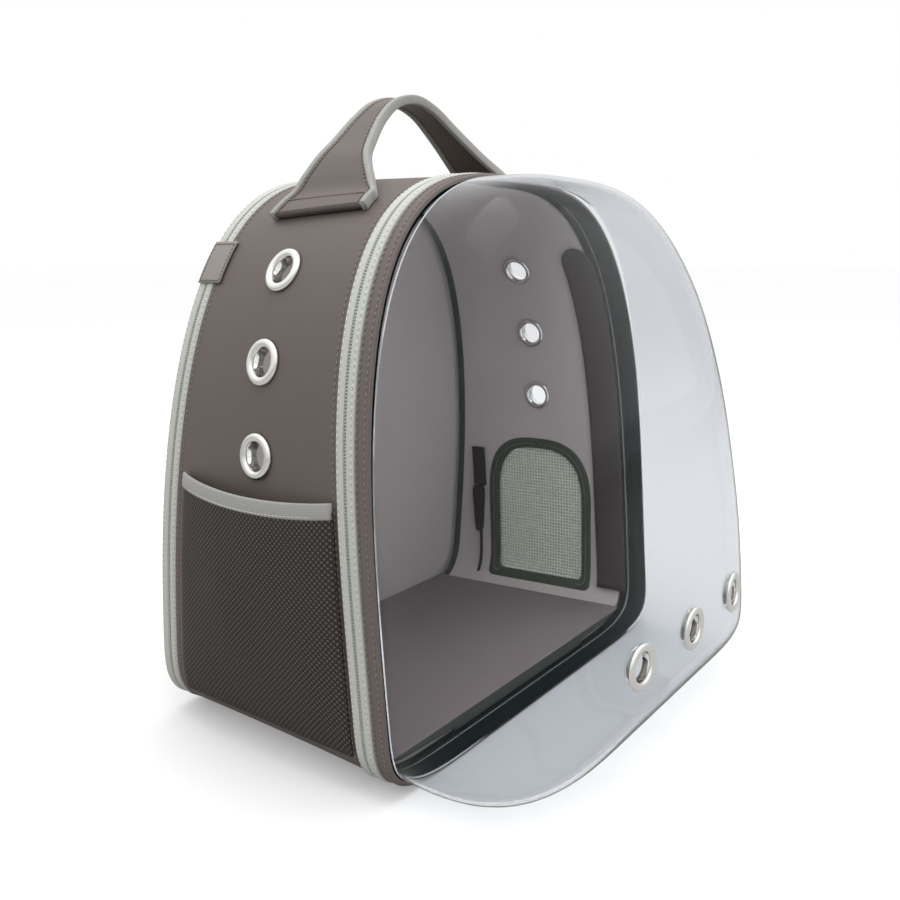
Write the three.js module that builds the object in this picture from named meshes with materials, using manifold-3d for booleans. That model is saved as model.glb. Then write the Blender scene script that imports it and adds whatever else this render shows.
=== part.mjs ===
// Bubble pet carrier backpack: a stiff gusset with zipped ends, a clear domed front shell
// and a padded back with two shoulder straps.
// X runs across the bag, -Y is the clear front, +Y is the wearer's side and Z is up.
// All sizes are in millimetres.
import * as THREE from "three";
import { mergeVertices } from "three/addons/utils/BufferGeometryUtils.js";
import Module from "manifold-3d";

const wasm = await Module();
wasm.setup();

// Clearances
const seam = 0.3;
const patchGap = 0.5;

// Body outline
const bodyHeight = 378;
const backRise = 3;
const backHeight = bodyHeight + backRise;
const frontHalfWidth = 171;
const backHalfWidth = 162.5;
const frontBellyHeight = 61;
const backBellyHeight = 76;
const soleHalfWidth = 85;
const bodyDepth = 180;
const frontLean = 18;
const backLean = 40;
const wall = 4;
const frontCurve = { crownX: 3.0, crownZ: 3.3, soleX: 3.6, soleZ: 5.2 };
const backCurve = { crownX: 3.14, crownZ: 2.32, soleX: 3.4, soleZ: 4.4 };
const soleSteps = 2;
const cornerSteps = 8;
const crownSteps = 16;

// Zip bands, rim and back panel
const frontTape = 6.4;
const backTape = 6.6;
const teethBand = 1.6;
const tapeThick = 4.2;
const tapeProud = 1.6;
const backTapeProud = 0.6;
const teethThick = 2.4;
const teethSunk = 1.4;
const rimDepth = 10.2;
const rimThick = 5;
const rimProud = 0.8;
const panelThick = 11;
const panelProud = 3;
const panelRound = 4;

// Clear shell
const shellWall = 2;
const shellInset = 2.2;
const shellCentre = 104;
const shellDepth = 122;
const shellBulge = 0.02;
const shellSag = 1.5;
const shellLift = 1.2;

// Eyelets
const eyeletHole = 17;
const eyeletTube = 1.1;
const eyeletFlange = 30;
const eyeletDome = 2.4;
const eyeletSides = 14;
const eyeletSeat = 0.6;
const eyeletSlack = 1.9;
const sideEyeletDrops = [62, 118, 176];
const sideEyeletBack = 82;
const shellEyeletHeight = 80;
const shellEyeletPitch = 75;

// Handle
const handleHalfSpan = 105;
const handleHem = 12;
const handleRise = 85;
const handleBack = 75;
const handleTilt = 17;
const handleBaseWidth = 85;
const handleTopWidth = 26;
const handleThick = 5;
const handleEdge = 4.5;
const handleEdgeProud = 0.8;
const handleSeat = 0.9;
const handleSeam = 1.1;

// Near side pocket
const pocketDrop = 202;
const pocketSag = 8;
const pocketBottom = 22;
const pocketSeat = 0.9;
const pocketFront = 10;
const pocketBack = 27;
const pocketBulge = 11;
const pocketThick = 1.4;
const pocketBinding = 10;
const pocketBindingThick = 2.6;

// Far side window
const windowBack = 86;
const windowHalfWidth = 56;
const windowTop = 160;
const windowBottom = 17;
const windowBinding = 10;
const windowMeshThick = 1.2;
const windowBindingProud = 1;
const windowCurve = 2.8;
const windowCorner = 6;
const windowFit = 0.6;

// Inner flap on the far side
const flapFront = 9;
const flapBack = 30;
const flapDrop = 43;
const flapBottom = 24;
const flapThick = 1.5;

// Floor pad
const padTop = 15;
const padGap = 3;

// Leash inside the cabin
const leashFromBack = 29;
const leashTop = 146;
const leashTabWidth = 14;
const leashTabLength = 38;
const leashTabThick = 1.6;
const clipLength = 46;
const clipWidth = 13;
const clipThick = 7;
const leashCord = 3;
const leashSlack = 1.5;

// Woven tag over the back zip band
const tagDrop = 44;
const tagLength = 30;
const tagReach = 25;
const tagThick = 0.9;

// Shoulder straps
const strapSpread = 62;
const strapWidth = 58;
const strapThick = 11;
const strapDrop = 51;
const strapBottom = 96;
const strapBow = 38;
const webWidth = 25;
const webThick = 2;
const webBottom = 34;

// Shell profile: height share of the body, depth share, edge fullness in plan and in depth
const shellProfile = [
  { height: 0.0, depth: 0.94 },
  { height: 0.25, depth: 1.0 },
  { height: 0.5, depth: 0.93 },
  { height: 0.75, depth: 0.81 },
  { height: 1.0, depth: 0.66 },
];
const shellEdge = {
  side: { plan: 4.1, depth: 2.6 },
  sole: { plan: 4.7, depth: 3.6 },
  crown: { plan: 3.7, depth: 6.0 },
};

// Shell rows: share of the quarter turn from the rim to the nose
const shellRows = [0, 0.006, 0.03, 0.08, 0.16, 0.26, 0.38, 0.5, 0.62, 0.75, 0.87, 0.97];

// Heights at which the window's edge is set out, as shares of its height
const windowRows = [0, 0.02, 0.045, 0.2, 0.4, 0.6, 0.74, 0.85, 0.92, 0.965, 0.99];

// Handle stations from its foot to its crown: shares of half span, rise, tilt and flare
const handleStations = [
  { out: 0.8, up: 0.29, tilt: 0.22, flare: 0.62 },
  { out: 0.7, up: 0.45, tilt: 0.45, flare: 0.36 },
  { out: 0.57, up: 0.59, tilt: 0.65, flare: 0.2 },
  { out: 0.38, up: 0.79, tilt: 0.9, flare: 0.06 },
  { out: 0.2, up: 0.94, tilt: 1.0, flare: 0.0 },
  { out: 0.0, up: 1.0, tilt: 1.0, flare: 0.0 },
];

// Strap stations from top to bottom: shares of the strap's drop and of its bow
const strapStations = [
  { drop: 0.0, bow: 0.0 },
  { drop: 0.04, bow: 0.0 },
  { drop: 0.07, bow: 0.3 },
  { drop: 0.13, bow: 0.66 },
  { drop: 0.24, bow: 0.92 },
  { drop: 0.4, bow: 1.0 },
  { drop: 0.58, bow: 0.94 },
  { drop: 0.76, bow: 0.76 },
  { drop: 0.9, bow: 0.55 },
  { drop: 1.0, bow: 0.4 },
];

const materials = {
  leather: { color: 0x6e6460, roughness: 0.55, metalness: 0 },
  tape: { color: 0xb9bcb4, roughness: 0.75, metalness: 0 },
  teeth: { color: 0x6d7270, roughness: 0.6, metalness: 0 },
  clear: { color: 0xc9ced2, roughness: 0.08, metalness: 0 },
  metal: { color: 0xd8d8d4, roughness: 0.2, metalness: 1 },
  mesh: { color: 0x2e2a2a, roughness: 0.85, metalness: 0 },
  windowMesh: { color: 0xb9c2b0, roughness: 0.8, metalness: 0 },
  windowBinding: { color: 0x667062, roughness: 0.75, metalness: 0 },
  binding: { color: 0xb4b4b0, roughness: 0.75, metalness: 0 },
  lining: { color: 0x6b6462, roughness: 0.8, metalness: 0 },
  flap: { color: 0x4a4042, roughness: 0.7, metalness: 0 },
  tag: { color: 0x8c8783, roughness: 0.85, metalness: 0 },
  plastic: { color: 0x1b1b1c, roughness: 0.45, metalness: 0 },
  webbing: { color: 0x232122, roughness: 0.85, metalness: 0 },
};

// One quarter of a superellipse from (half, 0) to (0, rise), sampled finely
function quarter(half, rise, powerX, powerZ) {
  const points = [];
  const fine = 240;
  for (let i = 0; i <= fine; i += 1) {
    const angle = (i / fine) * (Math.PI / 2);
    const x = half * Math.cos(angle) ** (2 / powerX);
    const z = rise * Math.sin(angle) ** (2 / powerZ);
    points.push(new THREE.Vector2(x, z));
  }
  return points;
}

// Points spaced evenly along a polyline
function spaced(points, count) {
  const lengths = [0];
  for (let i = 1; i < points.length; i += 1) {
    lengths.push(lengths[i - 1] + points[i].distanceTo(points[i - 1]));
  }
  const total = lengths[lengths.length - 1];
  const result = [];
  let k = 0;
  for (let i = 0; i <= count; i += 1) {
    const goal = (total * i) / count;
    while (k < points.length - 2 && lengths[k + 1] < goal) {
      k += 1;
    }
    const share = (goal - lengths[k]) / (lengths[k + 1] - lengths[k]);
    result.push(points[k].clone().lerp(points[k + 1], share));
  }
  return result;
}

// Closed outline of the bag seen from the front, starting at the middle of the sole
function outline(halfWidth, height, belly, curve) {
  const sole = [];
  for (let i = 0; i < soleSteps; i += 1) {
    sole.push(new THREE.Vector2((soleHalfWidth * i) / soleSteps, 0));
  }
  const low = quarter(halfWidth - soleHalfWidth, belly, curve.soleX, curve.soleZ);
  const corner = low.map((p) => new THREE.Vector2(soleHalfWidth + p.x, belly - p.y)).reverse();
  const high = quarter(halfWidth, height - belly, curve.crownX, curve.crownZ);
  const crown = high.map((p) => new THREE.Vector2(p.x, belly + p.y));
  const right = [
    ...sole,
    ...spaced(corner, cornerSteps).slice(0, -1),
    ...spaced(crown, crownSteps),
  ];
  const left = right.slice(1, -1).reverse().map((p) => new THREE.Vector2(-p.x, p.y));
  return [...right, ...left];
}

const frontLoop = outline(frontHalfWidth, bodyHeight, frontBellyHeight, frontCurve);
const backLoop = outline(backHalfWidth, backHeight, backBellyHeight, backCurve);
const loopCount = frontLoop.length;

function frontPlane(z) {
  return frontLean * (z / bodyHeight - 0.5);
}

function backPlane(z) {
  return bodyDepth - backLean * (z / backHeight - 0.5);
}

// Moves each point of a closed XZ loop outwards by a distance, kept on or above the floor
function pushOut(loop, distance) {
  return loop.map((p, i) => {
    const before = loop[(i + loop.length - 1) % loop.length];
    const after = loop[(i + 1) % loop.length];
    const normal = new THREE.Vector2(after.z - before.z, before.x - after.x).normalize();
    const z = Math.max(p.z + normal.y * distance, 0);
    return new THREE.Vector3(p.x + normal.x * distance, p.y, z);
  });
}

// Loop of the gusset at a distance behind its front plane, or behind its back plane
function station(end, behind, distance) {
  const loop = frontLoop.map((f, i) => {
    const b = backLoop[i];
    const front = new THREE.Vector3(f.x, frontPlane(f.y), f.y);
    const back = new THREE.Vector3(b.x, backPlane(b.y), b.y);
    const length = back.y - front.y;
    if (end === "front") {
      const share = Math.max(behind / length, 0);
      const point = front.lerp(back, share);
      point.y += Math.min(behind, 0);
      return point;
    }
    const share = Math.min(1 + behind / length, 1);
    const point = front.lerp(back, share);
    point.y += Math.max(behind, 0);
    return point;
  });
  return pushOut(loop, distance);
}

// Closed solid from a list of triangles over shared points, turned so that its faces point out
function closed(points, triangles) {
  let volume = 0;
  const cross = new THREE.Vector3();
  for (const [a, b, c] of triangles) {
    volume += points[a].dot(cross.crossVectors(points[b], points[c]));
  }
  const index = [];
  for (const [a, b, c] of triangles) {
    index.push(...(volume > 0 ? [a, b, c] : [a, c, b]));
  }
  const geometry = new THREE.BufferGeometry();
  const flat = points.flatMap((p) => [p.x, p.y, p.z]);
  geometry.setAttribute("position", new THREE.Float32BufferAttribute(flat, 3));
  geometry.setIndex(index);
  return geometry;
}

// Skin between neighbouring loops; a band closes on itself, a body is capped at both ends
function loft(loops, isBand) {
  const size = loops[0].length;
  const points = loops.flat();
  const triangles = [];
  const rows = isBand ? loops.length : loops.length - 1;
  for (let row = 0; row < rows; row += 1) {
    const next = (row + 1) % loops.length;
    for (let i = 0; i < size; i += 1) {
      const j = (i + 1) % size;
      triangles.push([row * size + i, row * size + j, next * size + j]);
      triangles.push([row * size + i, next * size + j, next * size + i]);
    }
  }
  if (!isBand) {
    for (const row of [0, loops.length - 1]) {
      const middle = new THREE.Vector3();
      for (const p of loops[row]) {
        middle.addScaledVector(p, 1 / size);
      }
      const centre = points.push(middle) - 1;
      for (let i = 0; i < size; i += 1) {
        const edge = [row * size + i, row * size + ((i + 1) % size)];
        triangles.push(row === 0 ? [edge[1], edge[0], centre] : [edge[0], edge[1], centre]);
      }
    }
  }
  return closed(points, triangles);
}

// Sheet solid over a grid: place(u, v) gives its two faces' points
function sheet(across, up, place) {
  const points = [];
  const at = [];
  for (let v = 0; v <= up; v += 1) {
    for (let u = 0; u <= across; u += 1) {
      const faces = place(u / across, v / up);
      at.push([points.push(faces[0]) - 1, points.push(faces[1]) - 1]);
    }
  }
  const triangles = [];
  const quad = (a, b, c, d) => triangles.push([a, b, c], [a, c, d]);
  const spot = (u, v) => at[v * (across + 1) + u];
  for (let v = 0; v < up; v += 1) {
    for (let u = 0; u < across; u += 1) {
      quad(spot(u, v)[0], spot(u + 1, v)[0], spot(u + 1, v + 1)[0], spot(u, v + 1)[0]);
      quad(spot(u, v + 1)[1], spot(u + 1, v + 1)[1], spot(u + 1, v)[1], spot(u, v)[1]);
    }
  }
  for (let u = 0; u < across; u += 1) {
    quad(spot(u, 0)[1], spot(u + 1, 0)[1], spot(u + 1, 0)[0], spot(u, 0)[0]);
    quad(spot(u, up)[0], spot(u + 1, up)[0], spot(u + 1, up)[1], spot(u, up)[1]);
  }
  for (let v = 0; v < up; v += 1) {
    quad(spot(0, v)[0], spot(0, v + 1)[0], spot(0, v + 1)[1], spot(0, v)[1]);
    quad(spot(across, v)[1], spot(across, v + 1)[1], spot(across, v + 1)[0], spot(across, v)[0]);
  }
  return closed(points, triangles);
}

function toManifold(source) {
  const geometry = source.clone();
  geometry.deleteAttribute("normal");
  geometry.deleteAttribute("uv");
  const merged = mergeVertices(geometry, 1e-4);
  const vertProperties = new Float32Array(merged.attributes.position.array);
  const triVerts = new Uint32Array(merged.index.array);
  return new wasm.Manifold(new wasm.Mesh({ numProp: 3, vertProperties, triVerts }));
}

function fromManifold(manifold) {
  const mesh = manifold.getMesh();
  const geometry = new THREE.BufferGeometry();
  geometry.setAttribute("position", new THREE.BufferAttribute(mesh.vertProperties, 3));
  geometry.setIndex(new THREE.BufferAttribute(mesh.triVerts, 1));
  return geometry;
}

function cutAll(base, tools) {
  let result = toManifold(base);
  for (const tool of tools) {
    result = result.subtract(toManifold(tool));
  }
  return fromManifold(result);
}

const bag = new THREE.Group();

function addPiece(name, geometry, finish) {
  geometry.computeVertexNormals();
  const mesh = new THREE.Mesh(geometry, new THREE.MeshStandardMaterial(materials[finish]));
  mesh.name = name;
  bag.add(mesh);
  return mesh;
}

// First point of a solid met by a ray, with the outward normal there
function hit(geometry, origin, direction) {
  const probe = new THREE.Mesh(geometry, new THREE.MeshBasicMaterial({ side: THREE.DoubleSide }));
  const ray = new THREE.Raycaster(origin, direction.clone().normalize());
  const found = ray.intersectObject(probe)[0];
  const normal = found.face.normal.clone();
  if (normal.dot(direction) > 0) {
    normal.negate();
  }
  return { point: found.point, normal };
}

// Gusset, closed at neither end
const wallFront = frontTape + teethBand / 2 + seam * 2;
const backBand = backTape * 2 + teethBand + seam * 2;
const wallBack = -(backBand + seam);
const gusset = loft(
  [
    station("front", wallFront, 0),
    station("back", wallBack, 0),
    station("back", wallBack, -wall),
    station("front", wallFront, -wall),
  ],
  true,
);

// Point on the gusset's outer or inner face at a depth and height, lifted off it
function onGusset(side, y, z, lift) {
  const origin = new THREE.Vector3(side * frontHalfWidth * 2, y, z);
  const found = hit(gusset, origin, new THREE.Vector3(-side, 0, 0));
  return found.point.addScaledVector(found.normal, lift);
}

function insideGusset(side, y, z, lift) {
  const origin = new THREE.Vector3(0, y, z);
  const found = hit(gusset, origin, new THREE.Vector3(side, 0, 0));
  return found.point.addScaledVector(found.normal, lift);
}

// Eyelet: a rolled flange outside, a tube through the wall and a flat flange inside
function eyeletShape(thickness) {
  const bore = eyeletHole / 2;
  const tube = bore + eyeletTube;
  const flange = eyeletFlange / 2;
  const inside = -(thickness + eyeletSlack);
  const profile = [
    [bore, inside - eyeletTube],
    [bore, eyeletSeat + eyeletDome * 0.6],
    [bore + (flange - bore) * 0.45, eyeletSeat + eyeletDome],
    [flange, eyeletSeat],
    [tube, eyeletSeat],
    [tube, inside],
    [flange - eyeletDome, inside],
    [flange - eyeletDome, inside - eyeletTube],
    [bore, inside - eyeletTube],
  ];
  const points = profile.reverse().map(([r, h]) => new THREE.Vector2(r, h));
  return new THREE.LatheGeometry(points, eyeletSides);
}

function alignTo(geometry, point, normal) {
  const turn = new THREE.Quaternion().setFromUnitVectors(new THREE.Vector3(0, 1, 0), normal);
  geometry.applyQuaternion(turn);
  geometry.translate(point.x, point.y, point.z);
  return geometry;
}

function eyeletBore(thickness) {
  const radius = eyeletHole / 2 + eyeletTube + seam;
  return new THREE.CylinderGeometry(radius, radius, thickness * 6, eyeletSides);
}

const gussetCuts = [];
const sideNames = { "-1": "left", 1: "right" };
for (const side of [-1, 1]) {
  sideEyeletDrops.forEach((drop, i) => {
    const z = bodyHeight - drop;
    const origin = new THREE.Vector3(side * frontHalfWidth * 2, sideEyeletBack, z);
    const found = hit(gusset, origin, new THREE.Vector3(-side, 0, 0));
    gussetCuts.push(alignTo(eyeletBore(wall), found.point, found.normal));
    const ring = alignTo(eyeletShape(wall), found.point, found.normal);
    addPiece(`side_eyelet_${sideNames[side]}_${i + 1}`, ring, "metal");
  });
}

// Half width of the arched window at a height, with its edge drawn in by an inset
function windowHalfAt(z, inset) {
  const low = windowBottom + inset;
  const spring = windowBottom + (windowTop - windowBottom) * 0.55;
  const half = windowHalfWidth - inset;
  if (z < spring) {
    const rise = Math.min((z - low) / windowCorner, 1);
    return half - windowCorner * (1 - Math.sqrt(Math.max(1 - (1 - rise) ** 2, 0)));
  }
  const share = Math.min((z - spring) / (windowTop - inset - spring), 1);
  return half * (1 - share ** windowCurve) ** (1 / windowCurve);
}

// Closed YZ outline of the window, drawn in by an inset
function windowLoop(inset) {
  const rows = [...windowRows, 1];
  const low = windowBottom + inset;
  const high = windowTop - inset;
  const up = rows.map((share) => {
    const z = low + (high - low) * share;
    return new THREE.Vector2(windowHalfAt(z, inset), z);
  });
  const down = up.slice(0, -1).reverse().map((p) => new THREE.Vector2(-p.x, p.y));
  return [...up, ...down].map((p) => new THREE.Vector2(windowBack + p.x, p.y));
}

function windowFace(inset, place) {
  return windowLoop(inset).map((p) => place(p.x, p.y));
}

const windowCut = new THREE.ExtrudeGeometry(
  new THREE.Shape(windowLoop(-windowFit)),
  { depth: frontHalfWidth, bevelEnabled: false },
);
windowCut.applyMatrix4(new THREE.Matrix4().makeBasis(
  new THREE.Vector3(0, 1, 0),
  new THREE.Vector3(0, 0, 1),
  new THREE.Vector3(1, 0, 0),
));
windowCut.translate(frontHalfWidth / 3, 0, 0);
gussetCuts.push(windowCut);

const windowRing = loft(
  [
    windowFace(0, (y, z) => onGusset(1, y, z, windowBindingProud)),
    windowFace(windowBinding, (y, z) => onGusset(1, y, z, windowBindingProud)),
    windowFace(windowBinding, (y, z) => insideGusset(1, y, z, windowBindingProud)),
    windowFace(0, (y, z) => insideGusset(1, y, z, windowBindingProud)),
  ],
  true,
);
addPiece("window_binding", windowRing, "windowBinding");

const netInset = windowBinding + seam;
const windowNet = sheet(4, windowRows.length - 1, (u, v) => {
  const low = windowBottom + netInset;
  const high = windowTop - netInset;
  const z = low + (high - low) * windowRows[Math.round(v * (windowRows.length - 1))];
  const y = windowBack + windowHalfAt(z, netInset) * (2 * u - 1);
  const face = (wall - windowMeshThick) / 2;
  return [onGusset(1, y, z, -face), onGusset(1, y, z, -face - windowMeshThick)];
});
addPiece("window_mesh", windowNet, "windowMesh");

addPiece("side_wall", cutAll(gusset, gussetCuts), "leather");

// Rings round the two ends of the gusset
function ring(name, end, from, to, proud, thick, finish) {
  const loops = [
    station(end, from, proud),
    station(end, to, proud),
    station(end, to, proud - thick),
    station(end, from, proud - thick),
  ];
  return addPiece(name, loft(loops, true), finish);
}

const teethHalf = teethBand / 2;
const tapeStart = teethHalf + seam;
const tapeEnd = tapeStart + frontTape - seam;
const teethDrop = tapeProud - teethSunk;
const rimStart = tapeEnd + seam;
const rimEnd = rimStart + rimDepth;
ring("front_zip_tape_rear", "front", tapeEnd, tapeStart, tapeProud, tapeThick, "tape");
ring("front_zip_teeth", "front", teethHalf, -teethHalf, teethDrop, teethThick, "teeth");
ring("front_zip_tape_fore", "front", -tapeStart, -tapeEnd, tapeProud, tapeThick, "tape");
ring("front_rim", "front", -rimStart, -rimEnd, rimProud, rimThick, "leather");

const backTeeth = backTape + seam;
const backFore = backTeeth + teethBand + seam;
const backDrop = backTapeProud - teethSunk;
ring("back_zip_tape_rear", "back", 0, -backTape, backTapeProud, tapeThick, "tape");
ring("back_zip_teeth", "back", -backTeeth, -backTeeth - teethBand, backDrop, teethThick, "teeth");
ring("back_zip_tape_fore", "back", -backFore, -backBand, backTapeProud, tapeThick, "tape");

// Back panel, set inside the zip band and rounded at its outer edge
const panelEdge = backTapeProud - tapeThick - seam;
const panelInner = panelProud - panelThick;
const panelLoops = [
  station("back", panelInner, panelEdge),
  station("back", 0, panelEdge),
  station("back", panelProud * 0.7, panelEdge - panelRound * 0.3),
  station("back", panelProud, panelEdge - panelRound),
];
for (const loop of panelLoops) {
  for (const p of loop) {
    p.z = Math.max(p.z, -panelEdge);
  }
}
const panel = loft(panelLoops, false);
addPiece("back_panel", panel, "leather");

// Depth of the back panel's outer face at a place on it
function panelFace(x, z) {
  const origin = new THREE.Vector3(x, bodyDepth * 3, z);
  return hit(panel, origin, new THREE.Vector3(0, -1, 0)).point.y;
}

// Clear shell
function depthShare(z) {
  const share = THREE.MathUtils.clamp(z / bodyHeight, 0, 1);
  let k = 0;
  while (k < shellProfile.length - 2 && shellProfile[k + 1].height < share) {
    k += 1;
  }
  const low = shellProfile[k];
  const high = shellProfile[k + 1];
  const t = (share - low.height) / (high.height - low.height);
  return THREE.MathUtils.lerp(low.depth, high.depth, THREE.MathUtils.clamp(t, 0, 1));
}

const shellStart = rimEnd + seam;

function shellLoop(turn, inset, loss) {
  const base = pushOut(frontLoop.map((p) => new THREE.Vector3(p.x, 0, p.y)), -inset);
  const angle = (turn * Math.PI) / 2;
  return base.map((p) => {
    const z0 = Math.max(p.z, inset);
    const low = THREE.MathUtils.clamp((shellCentre - z0) / shellCentre, 0, 1) ** 2;
    const high = THREE.MathUtils.clamp((z0 - shellCentre) / (bodyHeight - shellCentre), 0, 1) ** 2;
    const blend = (key) => {
      const side = shellEdge.side[key];
      const sole = (shellEdge.sole[key] - side) * low;
      return side + sole + (shellEdge.crown[key] - side) * high;
    };
    const reach = Math.cos(angle) ** (2 / blend("plan"));
    const out = Math.sin(angle) ** (2 / blend("depth"));
    const swell = 4 * out * (1 - out);
    const x = p.x * reach * (1 + shellBulge * swell);
    const sag = shellSag * swell * low;
    const z = shellCentre + (z0 - shellCentre) * reach - sag;
    const depth = shellDepth * depthShare(z) - loss;
    return new THREE.Vector3(x, frontPlane(z) - shellStart - depth * out, z + shellLift);
  });
}

const shellLoops = [
  ...[...shellRows].reverse().map((turn) => shellLoop(turn, shellInset + shellWall, shellWall)),
  ...shellRows.map((turn) => shellLoop(turn, shellInset, 0)),
];
const shell = loft(shellLoops, false);
const shellCuts = [];
[-1, 0, 1].forEach((column, i) => {
  const x = column * shellEyeletPitch;
  const origin = new THREE.Vector3(x, -bodyDepth * 3, shellEyeletHeight);
  const found = hit(shell, origin, new THREE.Vector3(0, 1, 0));
  shellCuts.push(alignTo(eyeletBore(shellWall), found.point, found.normal));
  const eyelet = alignTo(eyeletShape(shellWall), found.point, found.normal);
  addPiece(`shell_eyelet_${i + 1}`, eyelet, "metal");
});
addPiece("bubble_shell", cutAll(shell, shellCuts), "clear");

// Near side pocket: a net that stands off the wall and closes on to it at its edges
function pocketEdge(u) {
  return bodyHeight - pocketDrop + pocketSag * (2 * u - 1) ** 2;
}

function pocketPlace(u, z, lift) {
  const front = frontPlane(z) + pocketFront;
  const back = backPlane(z) - pocketBack;
  return onGusset(-1, THREE.MathUtils.lerp(front, back, u), z, lift);
}

function pocketLift(u, v) {
  const across = Math.sin(Math.PI * u) ** 0.6;
  const along = Math.sin((Math.PI / 2) * Math.min(v * 1.35, 1)) ** 0.8;
  return pocketSeat + pocketBulge * across * along;
}

const pocketNet = sheet(10, 8, (u, v) => {
  const high = pocketEdge(u) - pocketBinding - seam;
  const z = THREE.MathUtils.lerp(pocketBottom, high, v ** 1.4);
  const lift = pocketLift(u, v);
  return [pocketPlace(u, z, lift), pocketPlace(u, z, lift + pocketThick)];
});
addPiece("pocket_mesh", pocketNet, "mesh");

const pocketTrim = sheet(10, 1, (u, v) => {
  const high = pocketEdge(u);
  const z = THREE.MathUtils.lerp(high - pocketBinding, high, v);
  const lift = pocketLift(u, 1) - (pocketBindingThick - pocketThick) / 2;
  const inner = Math.max(lift, pocketSeat);
  return [pocketPlace(u, z, inner), pocketPlace(u, z, inner + pocketBindingThick)];
});
addPiece("pocket_binding", pocketTrim, "binding");

// Inner flap along the front of the far wall, with a rounded top
const flapTop = bodyHeight - flapDrop;
const flap = sheet(3, 12, (u, v) => {
  const share = Math.sin((v * Math.PI) / 2);
  const z = THREE.MathUtils.lerp(flapBottom, flapTop, share);
  const half = (flapBack - flapFront) / 2;
  const fromTop = Math.max(half - (flapTop - z), 0);
  const round = Math.sqrt(Math.max(half ** 2 - fromTop ** 2, 0.6));
  const middle = frontPlane(z) + flapFront + half;
  const y = middle + round * (2 * u - 1);
  return [insideGusset(1, y, z, patchGap), insideGusset(1, y, z, patchGap + flapThick)];
});
addPiece("inner_flap", flap, "flap");

// Floor pad: fills the bottom of the cabin between the walls
function padSection(loop) {
  const low = wall + seam;
  const rows = [0, 0.25, 0.5, 0.75, 1];
  const right = rows.map((share) => {
    const z = THREE.MathUtils.lerp(low, padTop, share);
    let edge = new THREE.Vector3(soleHalfWidth, loop[0].y, z);
    for (let i = 0; i < loop.length / 2; i += 1) {
      const a = loop[i];
      const b = loop[i + 1];
      if (a.z <= z && b.z > z) {
        edge = a.clone().lerp(b, (z - a.z) / (b.z - a.z));
      }
    }
    return edge;
  });
  const left = right.map((p) => new THREE.Vector3(-p.x, p.y, p.z)).reverse();
  return [...right, ...left];
}

const padLoops = [
  padSection(station("front", wallFront - frontTape, -wall - padGap)),
  padSection(station("back", panelInner - patchGap * 2, -wall - padGap)),
];
addPiece("floor_pad", loft(padLoops, false), "lining");

// Leash: a webbing tab on the far wall, a clip under it and a short cord end
const leashBack = bodyDepth - leashFromBack;
const tab = sheet(2, 4, (u, v) => {
  const z = THREE.MathUtils.lerp(leashTop - leashTabLength, leashTop, v);
  const y = leashBack + leashTabWidth * (u - 0.5);
  return [insideGusset(1, y, z, patchGap), insideGusset(1, y, z, patchGap + leashTabThick)];
});
addPiece("leash_tab", tab, "webbing");

const clipTop = leashTop - leashTabLength - seam;
const clipSeat = insideGusset(1, leashBack, clipTop - clipLength / 2, leashSlack);
const clipShape = new THREE.Shape();
const clipHalf = clipWidth / 2;
clipShape.moveTo(-clipHalf, 0);
clipShape.lineTo(-clipHalf * 0.45, -clipLength);
clipShape.lineTo(clipHalf * 0.45, -clipLength);
clipShape.lineTo(clipHalf, 0);
const clip = new THREE.ExtrudeGeometry(clipShape, { depth: clipThick, bevelEnabled: false });
clip.applyMatrix4(new THREE.Matrix4().makeBasis(
  new THREE.Vector3(0, 1, 0),
  new THREE.Vector3(0, 0, 1),
  new THREE.Vector3(1, 0, 0),
));
clip.translate(clipSeat.x - clipThick, leashBack, clipTop);
addPiece("leash_clip", clip, "plastic");

const cordTop = clipTop - clipLength - seam;
const cordEnd = padTop + leashSlack;
const cordRoute = new THREE.CatmullRomCurve3([0, 0.35, 0.7, 1].map((share) => {
  const z = THREE.MathUtils.lerp(cordTop, cordEnd, share);
  return insideGusset(1, leashBack, z, leashCord / 2 + leashSlack);
}));
const cordSection = new THREE.Shape();
cordSection.absarc(0, 0, leashCord / 2, 0, Math.PI * 2, false);
const cord = new THREE.ExtrudeGeometry(
  cordSection,
  { steps: 8, curveSegments: 4, bevelEnabled: false, extrudePath: cordRoute },
);
addPiece("leash_cord", cord, "webbing");

// Woven tag folded over the back zip band on the near side
function edgePoint(loop, z) {
  for (let i = loop.length / 2; i < loop.length; i += 1) {
    const a = loop[i];
    const b = loop[(i + 1) % loop.length];
    if (a.z >= z && b.z < z) {
      return a.clone().lerp(b, (a.z - z) / (a.z - b.z));
    }
  }
  return loop[0].clone();
}

const tagSeat = Math.max(backTapeProud, 0) + seam;
const tag = sheet(3, 4, (u, v) => {
  const behind = THREE.MathUtils.lerp(-tagReach, 0, u);
  const z = bodyHeight - tagDrop - tagLength * v;
  const inner = edgePoint(station("back", behind, tagSeat), z);
  const outer = edgePoint(station("back", behind, tagSeat + tagThick), z);
  return [inner, outer];
});
addPiece("label_tag", tag, "tag");

// Handle: a strap with flared feet sewn to the shoulders and bound edges
function onCrown(x, y, lift) {
  const origin = new THREE.Vector3(x, y, bodyHeight * 2);
  const found = hit(gusset, origin, new THREE.Vector3(0, 0, -1));
  return found.point.addScaledVector(found.normal, lift).setY(y);
}

const footHeight = onCrown(-handleHalfSpan, handleBack, handleSeat).z;

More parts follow.
